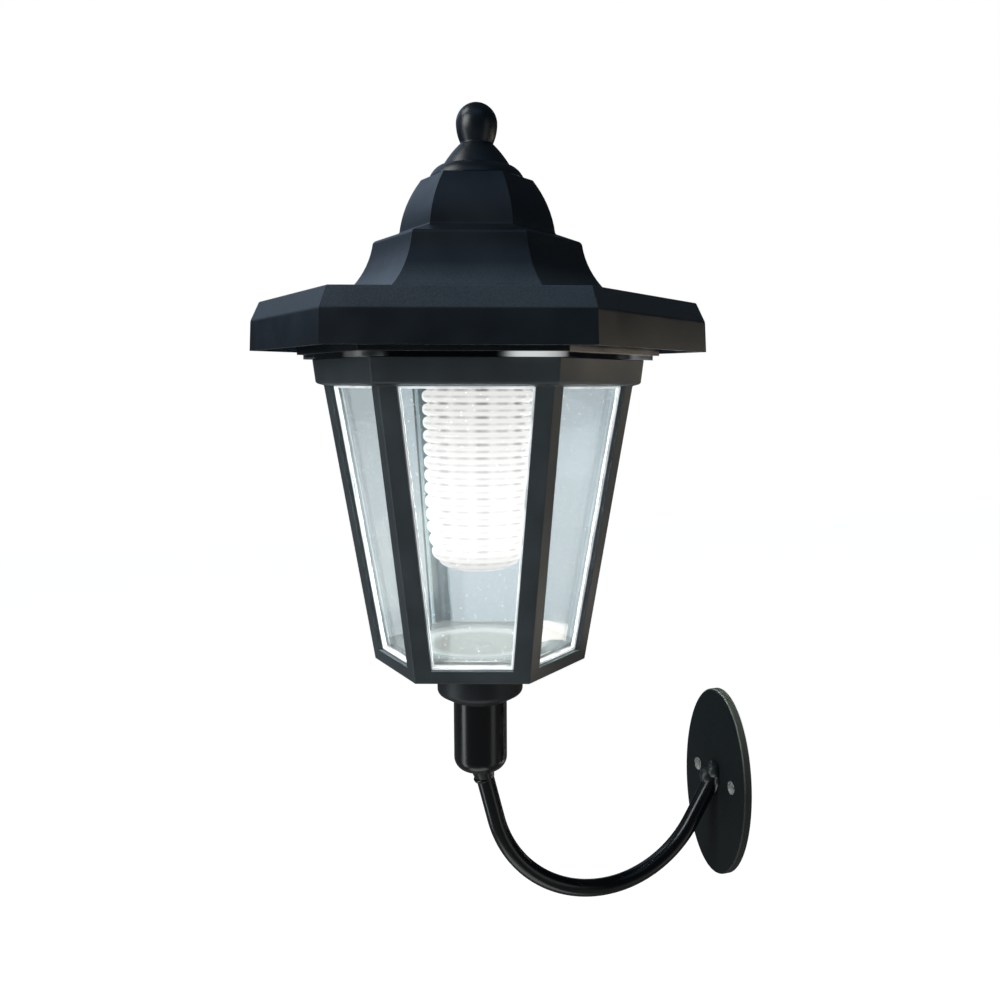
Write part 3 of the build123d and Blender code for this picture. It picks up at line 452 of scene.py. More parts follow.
def grey_lines(tree, place, height):
    """Painted shade lines in the valleys and on the crests of the ribs, darker where a flute lies behind
    them.
    """
    rib = add(tree, "Math", {0: height, 1: 1 / RIB_PITCH, 2: -RIB_TOP / RIB_PITCH}, operation="MULTIPLY_ADD")
    rib = add(tree, "Math", {0: rib, 1: 0.5}, operation="PINGPONG")
    valley = add(tree, "MapRange", {0: rib, 1: 0.05, 2: 0.16, 3: 1, 4: 0})
    crest = add(tree, "MapRange", {0: rib, 1: 0.36, 2: 0.46, 3: 0, 4: 0.6})
    line = add(tree, "Math", {0: valley, 1: crest}, operation="MAXIMUM")
    turn = turn_about_axis(tree, place)
    flute = waves(tree, turn, FLUTES, FLUTE_TURN)
    flute = add(tree, "MapRange", {0: flute, 1: -0.9, 2: 0.3, 3: 0.42, 4: 1})
    pair = waves(tree, turn, FLUTES / 2, FLUTE_TURN)
    pair = add(tree, "MapRange", {0: pair, 1: -1, 3: 0.65, 4: 1})
    broken = add(tree, "TexNoise", {"Vector": place, "Scale": 1 / BREAK_L, "Detail": 2.0})
    broken = add(tree, "MapRange", {0: broken, 1: 0.35, 2: 0.6, 3: 0.7, 4: 1})
    fade = add(tree, "MapRange", {0: height, 1: LINES_FAINT, 2: LINES_FULL, 3: 0.5, 4: 1})
    for part in (flute, pair, broken, fade):
        line = add(tree, "Math", {0: line, 1: part}, operation="MULTIPLY")
    return line


def lit_ribs():
    """Clear ribbed outside of the lit diffuser, with a painted glow: white beads between grey lines of
    painted shade, brightest below its middle, and a dimmer end.
    """
    made, tree = new_material("clear_polystyrene_lit_ribs")
    place = add(tree, "TexCoord").outputs["Object"]
    height = add(tree, "SeparateXYZ", {0: place}).outputs["Z"]
    lines = add(tree, "MapRange", {0: grey_lines(tree, place, height), 3: 1.0, 4: 0.12})
    end = add(tree, "MapRange", {0: height, 1: END_DIM, 2: END_BRIGHT, 3: 0.55, 4: 1})
    bright = add(tree, "MapRange", {0: height, 1: BRIGHTEST, 2: RIB_TOP, 3: 1.3, 4: 1.02})
    for part in (end, lines):
        bright = add(tree, "Math", {0: bright, 1: part}, operation="MULTIPLY")
    glass = add(tree, "BsdfPrincipled", {
        "Base Color": colour("#f6f9fa"),
        "Roughness": 0.05,
        "Transmission Weight": 1.0,
        "IOR": 1.5,
        "Emission Color": colour(LAMPLIGHT),
        "Emission Strength": bright,
    })
    lets_lamps_through(tree, glass)
    return made


def lit_bore():
    """Fluted bore of the diffuser, with a painted glow for the diode's light: grey near the top, white
    below.
    """
    made, tree = new_material("clear_polystyrene_lit_bore")
    place = add(tree, "TexCoord").outputs["Object"]
    height = add(tree, "SeparateXYZ", {0: place}).outputs["Z"]
    shader = add(tree, "BsdfPrincipled", {
        "Base Color": colour("#000000"),
        "Roughness": 0.3,
        "Specular IOR Level": 0.0,
        "Emission Color": colour(LAMPLIGHT),
        "Emission Strength": add(tree, "MapRange", {0: height, 1: RIB_FOOT, 2: RIB_TOP, 3: 0.3, 4: 0.12}),
    })
    lets_lamps_through(tree, shader)
    return made


def solar_laminate():
    """Blue polycrystalline cells with printed silver fingers and a busbar, under clear epoxy."""
    made, tree = new_material("solar_cells_under_epoxy")
    place = add(tree, "TexCoord").outputs["Object"]
    local = add(tree, "VectorMath", {0: place, 1: AXIS_FOOT}, operation="SUBTRACT")
    local = add(tree, "VectorRotate", {"Vector": local, "Angle": -PANEL_TURN}, rotation_type="Z_AXIS")
    part = add(tree, "SeparateXYZ", {0: local})
    out = add(tree, "Math", {0: part.outputs["X"]}, operation="ABSOLUTE")
    across = add(tree, "Math", {0: out, 1: PANEL_MIDDLE}, operation="SUBTRACT")
    across = add(tree, "Math", {0: across}, operation="ABSOLUTE")
    along = add(tree, "Math", {0: part.outputs["Y"]}, operation="ABSOLUTE")
    from_gap = add(tree, "Math", {0: along, 1: CELL_PITCH / 2}, operation="PINGPONG")
    from_finger = add(tree, "Math", {0: along, 1: FINGER_PITCH / 2}, operation="PINGPONG")
    cell = add(tree, "Math", {0: from_gap, 1: CELL_GAP / 2}, operation="GREATER_THAN")
    for distance, limit in ((along, CELLS_HALF_L), (across, CELL_HALF_W)):
        inside = add(tree, "Math", {0: distance, 1: limit}, operation="LESS_THAN")
        cell = add(tree, "Math", {0: cell, 1: inside}, operation="MULTIPLY")
    finger = add(tree, "Math", {0: from_finger, 1: FINGER_W / 2}, operation="LESS_THAN")
    busbar = add(tree, "Math", {0: across, 1: BUSBAR_W / 2}, operation="LESS_THAN")
    silver = add(tree, "Math", {0: finger, 1: busbar}, operation="MAXIMUM")
    silver = add(tree, "Math", {0: silver, 1: cell}, operation="MULTIPLY")
    crystal = add(tree, "TexVoronoi", {"Vector": place, "Scale": 1 / CRYSTAL_W})
    crystal = add(tree, "SeparateColor", {0: crystal.outputs["Color"]}).outputs["Red"]
    blue = add(tree, "Mix", {0: crystal, 6: colour("#0d1a3c"), 7: colour("#1c3270")}, data_type="RGBA")
    shade = add(tree, "Mix", {0: cell, 6: colour("#101318"), 7: blue}, data_type="RGBA")
    shade = add(tree, "Mix", {0: silver, 6: shade, 7: colour("#a4a8ab")}, data_type="RGBA")
    ripple = add(tree, "TexNoise", {"Vector": place, "Scale": 1 / EPOXY_RIPPLE_W, "Detail": 1.0})
    shader = add(tree, "BsdfPrincipled", {
        "Base Color": shade,
        "Roughness": add(tree, "MapRange", {0: crystal, 3: 0.25, 4: 0.4}),
        "IOR": 1.5,
        "Coat Weight": 1.0,
        "Coat Roughness": 0.06,
        "Coat Normal": add(tree, "Bump", {"Strength": 0.3, "Distance": 0.03 * MM, "Height": ripple}),
    })
    add(tree, "OutputMaterial", {"Surface": shader})
    return made


def bare_steel(tree, part, grit):
    """Share of bare steel: in the screw holes, with a chipped outline."""
    beside = add(tree, "Math", {0: part["X"]}, operation="ABSOLUTE")
    beside = add(tree, "Math", {0: beside, 1: SCREW_SPACING / 2}, operation="SUBTRACT")
    from_hole = add(tree, "CombineXYZ", {0: beside, 1: part["Z"]})
    from_hole = add(tree, "VectorMath", {0: from_hole}, operation="LENGTH").outputs["Value"]
    chip = add(tree, "MapRange", {0: grit, 1: NOISE_LOW, 2: NOISE_HIGH, 3: -CHIP_W, 4: CHIP_W})
    outline = add(tree, "Math", {0: from_hole, 1: chip}, operation="ADD")
    low, high = SCREW_HOLE_R + 0.1 * MM, SCREW_HOLE_R + 0.2 * MM
    return add(tree, "MapRange", {0: outline, 1: low, 2: high, 3: 1, 4: 0})


def powder_coat():
    """Black powder coat on cut steel plate: thin and greyer on the cut rim, chipped in the holes; the rim is
    painted paler towards the top, and its upper edges carry a painted highlight.
    """
    made, tree = new_material("black_powder_coat_on_steel")
    place = add(tree, "TexCoord").outputs["Object"]
    part = add(tree, "SeparateXYZ", {0: place}).outputs
    grit = add(tree, "TexNoise", {"Vector": place, "Scale": 1 / GRIT_W, "Detail": 3.0})
    bare = bare_steel(tree, part, grit)
    facing = add(tree, "SeparateXYZ", {0: add(tree, "NewGeometry").outputs["Normal"]}).outputs["Y"]
    facing = add(tree, "Math", {0: facing}, operation="ABSOLUTE")
    rim = add(tree, "MapRange", {0: facing, 1: 0.2, 2: 0.9, 3: 1, 4: 0})
    # painted light from above: the rim pales, and the edge highlight grows, towards the top
    upper = add(tree, "MapRange", {0: part["Z"], 1: 0, 2: PLATE_PAINTED_LIGHT_FROM, 3: 0.15, 4: 1})
    # painted highlight on the bevel between the face and the rim
    painted_edge_highlight = add(tree, "MapRange", {0: facing, 1: 0.3, 2: 0.95})
    painted_edge_highlight = add(tree, "Math", {0: painted_edge_highlight, 1: 0.5}, operation="PINGPONG")
    for share in (grit, upper):
        painted_edge_highlight = add(tree, "Math", {0: painted_edge_highlight, 1: share}, operation="MULTIPLY")
    # the rim's grey from its thin coat, painted paler towards the top as light from above
    cut = add(tree, "Mix", {0: upper, 6: colour("#1b1d1b"), 7: colour("#4b4c46")}, data_type="RGBA")
    shade = add(tree, "Mix", {0: grit, 6: colour("#070c0d"), 7: colour("#0d1315")}, data_type="RGBA")
    for share, over in ((rim, cut), (painted_edge_highlight, colour("#c2c4be")), (bare, colour("#a9aca9"))):
        shade = add(tree, "Mix", {0: share, 6: shade, 7: over}, data_type="RGBA")
    rough = add(tree, "MapRange", {0: grit, 1: NOISE_LOW, 2: NOISE_HIGH, 3: 0.5, 4: 0.6})
    shader = add(tree, "BsdfPrincipled", {
        "Base Color": shade,
        "Roughness": add(tree, "MapRange", {0: bare, 3: rough, 4: 0.35}),
        "Metallic": add(tree, "Math", {0: bare, 1: 0.45}, operation="MULTIPLY"),
        "Normal": add(tree, "Bump", {"Strength": 0.5, "Distance": 0.03 * MM, "Height": grit}),
        "Specular IOR Level": 0.3,
    })
    add(tree, "OutputMaterial", {"Surface": shader})
    return made


def marked_edges(name, sharp, shortest, steepest):
    """Node group that marks edges by their angle in degrees, their length and their slope."""
    tree = bpy.data.node_groups.new(name, "GeometryNodeTree")
    tree.interface.new_socket("Geometry", in_out="INPUT", socket_type="NodeSocketGeometry")
    tree.interface.new_socket("Geometry", in_out="OUTPUT", socket_type="NodeSocketGeometry")
    angle = add(tree, "InputMeshEdgeAngle", family="GeometryNode")
    ends = add(tree, "InputMeshEdgeVertices", family="GeometryNode").outputs
    span = add(tree, "VectorMath", {0: ends["Position 1"], 1: ends["Position 2"]}, operation="SUBTRACT")
    length = add(tree, "VectorMath", {0: span}, operation="LENGTH").outputs["Value"]
    slope = add(tree, "VectorMath", {0: span}, operation="NORMALIZE")
    slope = add(tree, "Math", {0: add(tree, "SeparateXYZ", {0: slope}).outputs["Z"]}, operation="ABSOLUTE")
    mark = add(tree, "Math", {0: angle, 1: radians(sharp[0])}, operation="GREATER_THAN")
    blunt = add(tree, "Math", {0: angle, 1: radians(sharp[1])}, operation="LESS_THAN")
    long = add(tree, "Math", {0: length, 1: shortest}, operation="GREATER_THAN")
    level = add(tree, "Math", {0: slope, 1: steepest}, operation="LESS_THAN")
    for part in (blunt, long, level):
        mark = add(tree, "Math", {0: mark, 1: part}, operation="MULTIPLY")
    kept = add(tree, "StoreNamedAttribute", {
        "Geometry": add(tree, "GroupInput", family="Node"),
        "Name": "bevel_weight_edge",
        "Value": mark,
    }, family="GeometryNode", data_type="FLOAT", domain="EDGE")
    add(tree, "GroupOutput", {0: kept}, family="Node")
    return tree


def rounded(node, width, sharp=ALL_CORNERS, shortest=0.0, steepest=ANY_SLOPE):
    """Rounds a piece's edges by this much, as its mould or press leaves them; other corners stay crisp."""
    changes = frame["nodes"][node].modifiers
    joined = changes.new("joined", "WELD")
    joined.merge_threshold = SAME_POINT
    flats = changes.new("flats", "DECIMATE")
    flats.decimate_type = "DISSOLVE"
    flats.angle_limit = SAME_FLAT
    marks = changes.new("marks", "NODES")
    marks.node_group = marked_edges(node + "_edges", sharp, shortest, steepest)
    edges = changes.new("edges", "BEVEL")
    edges.width = width
    edges.segments = 4
    edges.limit_method = "WEIGHT"
    edges.miter_outer = "MITER_ARC"
    crisp = changes.new("crisp", "EDGE_SPLIT")
    crisp.split_angle = CRISP_CORNER
    shading = changes.new("shading", "WEIGHTED_NORMAL")
    shading.weight = 80


def piece(name, mesh_code, body, finish):
    """New mesh object from mesh code, riding on a body."""
    mesh = bpy.data.meshes.new(name)
    bm = bmesh.new()
    mesh_code(bm)
    bmesh.ops.recalc_face_normals(bm, faces=bm.faces)
    bm.to_mesh(mesh)
    bm.free()
    for face in mesh.polygons:
        face.use_smooth = True
    made = bpy.data.objects.new(name, mesh)
    bpy.context.scene.collection.objects.link(made)
    made.data.materials.append(finish)
    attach(made, body)
    return made


def skin(bm, rings, closed=False):
    """Faces between rings of points, each ring closed on itself."""
    rows = [[bm.verts.new(point) for point in ring] for ring in rings]
    pairs = list(zip(rows, rows[1:]))
    if closed:
        pairs.append((rows[-1], rows[0]))
    for lower, upper in pairs:
        count = len(lower)
        for k in range(count):
            after = (k + 1) % count
            bm.faces.new((lower[k], lower[after], upper[after], upper[k]))
    return rows


def cage_flat(height):
    """Distance from the lantern's axis to the cage's outer flat at a height."""
    share = (height - CAGE_LOW) / (WINDOW_HIGH - CAGE_LOW)
    return CAGE_FOOT_FLAT + (CAGE_TOP_FLAT - CAGE_FOOT_FLAT) * share


def pane_borders(bm):
    """A raised border round each of the six panes, which centres the liner in the cage's windows."""
    far = BORDER_GAP + BORDER_W
    section = ((BORDER_GAP, BORDER_SUNK), (BORDER_GAP, BORDER_T), (far, BORDER_T), (far, BORDER_SUNK))
    corners = ((-1, False), (1, False), (1, True), (-1, True))
    for side in range(SIDES):
        turn = Matrix.Rotation(LANTERN_TURN + side * 2 * pi / SIDES, 4, "Z")
        rings = []
        for inset, proud in section:
            ring = []
            for right, high in corners:
                z = WINDOW_HIGH - inset if high else WINDOW_LOW + inset
                half = cage_flat(z) * tan(pi / SIDES) - POST_FACE - inset
                point = turn @ Vector((right * half, cage_flat(z) - LINER_INSET + proud, 0))
                ring.append((point.x + AXIS_FOOT.x, point.y + AXIS_FOOT.y, z))
            rings.append(ring)
        skin(bm, rings, closed=True)
    bmesh.ops.bevel(bm, geom=bm.edges[:], offset=BORDER_ROUND, segments=2, affect="EDGES")


def bead(bm, middle, across, upward, reach, width, lumps, seed):
    """Hand-laid weld bead round the arm: smooth lumps that run into each other on an oval path."""
    out = across.cross(upward)
    rings = []
    for k in range(BEAD_STEPS):
        turn = 2 * pi * k / BEAD_STEPS
        drift = noise.noise(Vector((1.3 * cos(turn), 1.3 * sin(turn), seed)))
        lump = 0.5 + 0.5 * cos(lumps * turn + seed + drift)
        radius = width * (0.5 + 0.5 * lump ** 2 + 0.2 * drift)
        path = middle + across * reach[0] * cos(turn) + upward * reach[1] * sin(turn)
        side = (across * cos(turn) / reach[0] + upward * sin(turn) / reach[1]).normalized()
        rings.append([
            path + radius * (cos(t) * side + sin(t) * out)
            for t in (2 * pi * n / BEAD_SIDES for n in range(BEAD_SIDES))
        ])
    skin(bm, rings, closed=True)


def plate_bead(bm):
    """Weld between the arm and the plate: a low bead, with proud lumps in the corner above the arm."""
    middle = Vector((0, PLATE_FACE - BEAD_OUT, -BEAD_LOW))
    reach = (ARM_R + BEAD_TUCK, ARM_R / cos(ARM_CLIMB) - BEAD_LOW)
    bead(bm, middle, Vector((1, 0, 0)), UP, reach, PLATE_BEAD_R, lumps=3, seed=0.7)
    for x, out, z, radius in WELD_LUMPS:
        place = Matrix.Translation((x, PLATE_FACE - out, z)) @ Matrix.Diagonal((1, 1, LUMP_STRETCH, 1))
        bmesh.ops.create_uvsphere(bm, u_segments=28, v_segments=18, radius=radius, matrix=place)


def cup_bead(bm):
    """Weld between the arm and the neck of the cup, nearly all sunk in it."""
    along = Vector((0, sin(ARM_LEAN), -cos(ARM_LEAN)))
    across = Vector((1, 0, 0))
    middle = Vector((0, AXIS_FOOT.y, CUP_FOOT)) + along * NECK_L
    reach = (ARM_R - BEAD_TUCK, ARM_R - BEAD_TUCK)
    bead(bm, middle, across, across.cross(along), reach, CUP_BEAD_R, lumps=1, seed=0.5)


def tube_radius(z):
    """Radius of the diffuser in the valleys between its ribs."""
    depth = RIM_FOOT - z
    if depth < TUBE_WAIST:
        return TUBE_TOP_R + (TUBE_WAIST_R - TUBE_TOP_R) * depth / TUBE_WAIST
    share = (depth - TUBE_WAIST) / (RIM_FOOT - RIB_FOOT - TUBE_WAIST)
    return TUBE_WAIST_R + (TUBE_FOOT_R - TUBE_WAIST_R) * share ** 2


def rib_height(share):
    """Height of a rib above its valleys: an arc, from one valley at 0 to the next at 1."""
    radius = (RIB_PITCH ** 2 / 4 + RIB_H ** 2) / (2 * RIB_H)
    return sqrt(radius ** 2 - (RIB_PITCH * (share - 0.5)) ** 2) - (radius - RIB_H)


def tube_ring(radius, z, flute=0.0):
    """Ring of points about the lantern's axis; flutes deepen and raise it in turn."""
    steps = 192
    ring = []
    for k in range(steps):
        turn = 2 * pi * k / steps
        r = radius - flute * cos(FLUTES * (turn - FLUTE_TURN))
        ring.append((AXIS_FOOT.x + r * cos(turn), AXIS_FOOT.y + r * sin(turn), z))
    return ring


def tube_outside(low, high):
    """Rings of the diffuser's outside, from its flange down the ribs to its rounded end."""
    rib_steps, end_steps = 12, 14
    seat = high.z - TUBE_FLANGE_T
    rings = [
        tube_ring(TUBE_FLANGE_R, high.z),
        tube_ring(TUBE_FLANGE_R, seat),
        tube_ring(tube_radius(seat), seat),
    ]
    for rib in range(RIB_COUNT):
        for step in range(rib_steps):
            z = RIB_TOP - (rib + step / rib_steps) * RIB_PITCH
            rings.append(tube_ring(tube_radius(z) + rib_height(step / rib_steps), z))
    for step in range(end_steps):
        turn = step / end_steps * pi / 2
        z = RIB_FOOT + (low.z - RIB_FOOT) * sin(turn) ** 0.9
        rings.append(tube_ring(TUBE_FOOT_R * cos(turn) ** 0.7, z))
    return rings


def tube_bore(low, high):
    """Rings of the diffuser's fluted bore, from its rounded end up."""
    steps = 40
    bore_low = low.z + TUBE_WALL
    rings = []
    for step in range(1, steps + 1):
        share = (step / steps) ** 1.6
        z = bore_low + (high.z - bore_low) * share
        end_share = min(1, (z - bore_low) / (RIB_FOOT - bore_low))
        radius = (tube_radius(max(z, RIB_FOOT)) - TUBE_WALL) * (1 - (1 - end_share) ** 2.2) ** 0.5
        rings.append(tube_ring(radius, z, FLUTE_DEPTH * end_share))
    return rings


def ribbed_tube(bm):
    """Diffuser: flange, ribbed outside with a rounded end, and a fluted bore, which is the second finish."""
    low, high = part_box("ribbed_diffuser")
    outside = tube_outside(low, high)
    rows = skin(bm, outside + tube_bore(low, high), closed=True)
    first, last = len(outside) - 1, len(outside)
    between = [face for face in bm.faces if set(face.verts) <= set(rows[first] + rows[last])]
    bmesh.ops.delete(bm, geom=between, context="FACES_ONLY")
    bm.faces.new(rows[first])
    bm.faces.new(rows[last])
    bore = {vert for row in rows[last:] for vert in row}
    for face in bm.faces:
        face.material_index = int(all(vert in bore for vert in face.verts))


def solids(node):
    """Lowest and highest corners of each solid in a node."""
    bm = bmesh.new()
    bm.from_mesh(frame["nodes"][node].data)
    bmesh.ops.remove_doubles(bm, verts=bm.verts, dist=SAME_POINT)
    left = set(bm.verts)
    found = []
    while left:
        group = [left.pop()]
        for vert in group:
            for edge in vert.link_edges:
                other = edge.other_vert(vert)
                if other in left:
                    left.remove(other)
                    group.append(other)
        low = Vector([min(v.co[k] for v in group) for k in range(3)])
        high = Vector([max(v.co[k] for v in group) for k in range(3)])
        found.append((low, high))
    bm.free()
    return sorted(found, key=lambda box: (box[0].x, box[0].y))


def round_points(middle, radius, z, steps):
    """Ring of points about an upright line."""
    turns = [2 * pi * k / steps for k in range(steps)]
    return [(middle.x + radius * cos(turn), middle.y + radius * sin(turn), z) for turn in turns]


def screw_crown(x, y, head_r, head_h):
    """Depth of a screw's head below its top: a crown, sunk in the cross recess."""
    crown = CROWN_H * head_h * (sqrt(x * x + y * y) / head_r) ** CROWN_POWER
    near, far = sorted((abs(x), abs(y)))
    if near < RECESS_W * head_r and far < RECESS_L * head_r:
        crown += RECESS_DEPTH * head_h * (1 - far / (RECESS_L * head_r) * RECESS_RISE)
    return crown


def cross_screw(bm, low, high, shank, head_up):
    """Screw with a crowned head, a cross recess and a thread, in the space between two corners."""
    middle = (low + high) / 2
    head_r = (high.x - low.x) / 2
    head_h = HEAD_H * head_r
    top, end = (high.z, low.z) if head_up else (low.z, high.z)
    way = 1 if head_up else -1
    steps, crown_rows = 72, 18
    rings = []
    for row in range(crown_rows):
        share = HEAD_HEART + (1 - HEAD_HEART) * row / (crown_rows - 1)
        rings.append([
            (x, y, top - way * screw_crown(x - middle.x, y - middle.y, head_r, head_h))
            for x, y, z in round_points(middle, share * head_r, top, steps)
        ])
    profile = [(head_r, top - way * head_h), (shank, top - way * head_h)]
    length = abs(end - top) - head_h
    turns = max(3, int(length / THREAD_STEP))
    for k in range(turns):
        z = top - way * (head_h + length * (k + 0.5) / turns)
        profile.append((shank * (THREAD_ROOT if k % 2 else 1), z))
    profile.append((shank * SCREW_TIP, end))
    for radius, z in profile:
        rings.append(round_points(middle, radius, z, steps))
    rows = skin(bm, rings)
    bm.faces.new(rows[0])
    bm.faces.new(rows[-1])


def screws(node, shank, head_up=False):
    """Cross-recess screws in the place of a node's plain ones."""
    def mesh_code(bm):
        for low, high in solids(node):
            cross_screw(bm, low, high, shank, head_up)

    made = piece(node + "_cross", mesh_code, frame["nodes"][node]["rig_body"], ZINC)
    sharp = made.modifiers.new("shading", "EDGE_SPLIT")
    sharp.split_angle = radians(40)
    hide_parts(node)


def photo_camera():
    """Camera a little above the lamp's middle, in front of one window."""
    lens = bpy.data.cameras.new("camera")
    lens.lens = CAMERA_LENS
    lens.sensor_width = CAMERA_SENSOR
    lens.shift_x = CAMERA_SHIFT
    lens.clip_start = CAMERA_CLIP
    made = bpy.data.objects.new("camera", lens)
    turn = Matrix.Rotation(radians(CAMERA_YAW), 4, "Z")
    turn @= Matrix.Rotation(radians(CAMERA_PITCH), 4, "X")
    turn @= Matrix.Rotation(radians(CAMERA_ROLL), 4, "Y")
    turn @= Matrix.Rotation(radians(90), 4, "X")
    made.matrix_world = Matrix.Translation(CAMERA_PLACE) @ turn
    bpy.context.scene.collection.objects.link(made)
    bpy.context.scene.camera = made


def soft_lamp(name, right, near, above, size, level, tint, gloss=True):
    """Area lamp of an even brightness, placed from the lantern's middle as the camera sees it."""
    light = bpy.data.lights.new(name, "AREA")
    light.shape = "RECTANGLE"
    light.size, light.size_y = size
    light.energy = level * pi * size[0] * size[1]
    light.color = colour(tint)[:3]
    made = bpy.data.objects.new(name, light)
    place = LAMPS_AIM + TO_RIGHT * right - AHEAD * near + UP * above
    facing = (LAMPS_AIM - place).to_track_quat("-Z", "Y").to_matrix().to_4x4()
    made.matrix_world = Matrix.Translation(place) @ facing
    made.visible_camera = False
    made.visible_glossy = gloss
    bpy.context.scene.collection.objects.link(made)


def inner_lamp():
    """The diode's light inside the diffuser; it rises with the head."""
    light = bpy.data.lights.new("diode_light", "POINT")
    light.shadow_soft_size = DIODE_SPREAD
    light.energy = DIODE_WATTS
    light.color = colour("#fffaf0")[:3]
    made = bpy.data.objects.new("diode_light", light)
    made.location = (AXIS_FOOT.x, AXIS_FOOT.y, RIM_FOOT - DIODE_DROP)
    made.visible_camera = False
    made.visible_glossy = False
    made.visible_transmission = False
    bpy.context.scene.collection.objects.link(made)
    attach(made, "head")


def white_room():
    """World: white backdrop for the eye, in glass and behind gloss; a dim cool room for the rest."""
    world = bpy.data.worlds.new("white_room")
    world.use_nodes = True
    bpy.context.scene.world = world
    tree = world.node_tree
    tree.nodes.clear()
    way = add(tree, "TexCoord").outputs["Generated"]
    behind = add(tree, "VectorMath", {0: way, 1: AHEAD}, operation="DOT_PRODUCT").outputs["Value"]
    behind = add(tree, "MapRange", {0: behind, 1: 0.97, 2: 0.995})
    ray = add(tree, "LightPath").outputs
    gloss = add(tree, "Math", {0: ray["Is Glossy Ray"], 1: behind}, operation="MULTIPLY")
    eye = add(tree, "Math", {0: ray["Is Camera Ray"], 1: ray["Is Transmission Ray"]}, operation="MAXIMUM")
    white = add(tree, "Math", {0: eye, 1: gloss}, operation="MAXIMUM")
    shade = add(tree, "Mix", {0: white, 6: colour(ROOM), 7: colour("#ffffff")}, data_type="RGBA")
    add(tree, "OutputWorld", {"Surface": add(tree, "Background", {"Color": shade, "Strength": 1.0})})


def white_vinyl():
    """Matt white vinyl of the studio floor: white to the eye, with the lamp's soft shadow."""
    made, tree = new_material("white_vinyl_matt")
    ray = add(tree, "LightPath").outputs
    gloss = add(tree, "Math", {0: ray["Is Glossy Ray"], 1: FLOOR_GLOSS}, operation="MULTIPLY")
    seen = add(tree, "Math", {0: ray["Is Camera Ray"], 1: ray["Is Transmission Ray"]}, operation="MAXIMUM")
    seen = add(tree, "Math", {0: seen, 1: gloss}, operation="MAXIMUM")
    strength = add(tree, "Math", {0: seen, 1: FLOOR_GLOW}, operation="MULTIPLY")
    glow = add(tree, "Emission", {"Color": colour("#ffffff"), "Strength": strength})
    pale = add(tree, "MapRange", {0: ray["Is Glossy Ray"], 3: FLOOR_PALE, 4: FLOOR_PALE * FLOOR_GLOSS})
    cover = add(tree, "BsdfDiffuse", {"Color": pale})
    add(tree, "OutputMaterial", {"Surface": add(tree, "AddShader", {0: cover, 1: glow})})
    return made


def pale_floor():
    """Floor, well below the lamp."""
    mesh = bpy.data.meshes.new("pale_floor")
    bm = bmesh.new()
    bmesh.ops.create_grid(bm, x_segments=8, y_segments=8, size=FLOOR_HALF)
    bmesh.ops.translate(bm, verts=bm.verts, vec=(0, 0, FLOOR_Z))
    bm.to_mesh(mesh)
    bm.free()
    mesh.materials.append(white_vinyl())
    floor = bpy.data.objects.new("pale_floor", mesh)
    bpy.context.scene.collection.objects.link(floor)


# Black ABS, moulded in a spark-eroded tool: satin, with a fine grain, and pale dusting with a painted sheen
# where it faces up low on the roof
SATIN_ABS = moulded("black_abs_spark_textured", "#080e14", "#0d151c", 0.36, 0.35 * MM, 0.02 * MM, dust_and_sheen=0.22)
# The same ABS in the cage, painted paler than the roof to stand for the lamp's glow on its posts, and duller
CAGE_ABS_PAINTED_GLOW = moulded("black_abs_paled_by_painted_glow", "#2a3033", "#343b3e", 0.48, 0.35 * MM, 0.02 * MM)
# Black ABS with a coarser grain: dull, and even all round the turned boss
MATT_ABS = moulded("black_abs_matt", "#12171a", "#181d20", 0.46, 0.4 * MM, 0.03 * MM)
# Black ABS from a polished tool: the soffit mirrors the painted glow of the flange below it
GLOSS_ABS = moulded("black_abs_polished", "#171b1c", "#1e2324", 0.22, 2 * MM, 0.01 * MM)
# Black stoving enamel, sprayed on steel: deep gloss with a slight orange peel
ENAMEL = moulded("black_enamel_sprayed", "#040607", "#07090a", 0.22, 1.6 * MM, 0.01 * MM)
# The same enamel on the weld: it ran together thickly there, and shines on each lump
WELD_ENAMEL = moulded("black_enamel_on_weld", "#090c0d", "#121617", 0.3, 1.6 * MM, 0.02 * MM, specular=1.0)
# Black powder coat, baked on cut steel: dull and gritty, with a greyer rim painted paler towards the top, a
# painted highlight on its upper edges, and bright chips in the holes
POWDER = powder_coat()
# White solder mask on glass epoxy board: bright and smooth
WHITE_MASK = moulded("white_solder_mask", "#d9dcd8", "#e6e8e4", 0.35, 0.4 * MM, 0.01 * MM)
# Green solder mask on glass epoxy board: the weave of the glass shows as faint clouds
GREEN_MASK = moulded("green_solder_mask", "#174c2c", "#1f5f38", 0.3, 0.4 * MM, 0.01 * MM)
# Black epoxy resin, moulded round the board's components: dull, with a fine grain
RESIN = moulded("black_epoxy_resin", "#141414", "#1d1d1d", 0.5, 0.3 * MM, 0.01 * MM)
# Epoxy lens of the diode, cast in a polished mould: pale and glossy
EPOXY = moulded("clear_epoxy_cast", "#f4f1e6", "#fbf8ee", 0.1, 1 * MM, 0.01 * MM)
# Grey ABS of the tray and switch, moulded: satin
TRAY_ABS = moulded("grey_abs_moulded", "#3a3d40", "#44474a", 0.5, 0.4 * MM, 0.02 * MM)
# White acetal of the slider, moulded: waxy, without much gloss
ACETAL = moulded("white_acetal_moulded", "#d6d6d0", "#e2e2dc", 0.45, 0.4 * MM, 0.01 * MM)
# Green vinyl sleeve, shrunk on the cell: glossy and slightly wavy
SLEEVE = moulded("green_vinyl_sleeve", "#2c6b46", "#347a50", 0.28, 2 * MM, 0.01 * MM)
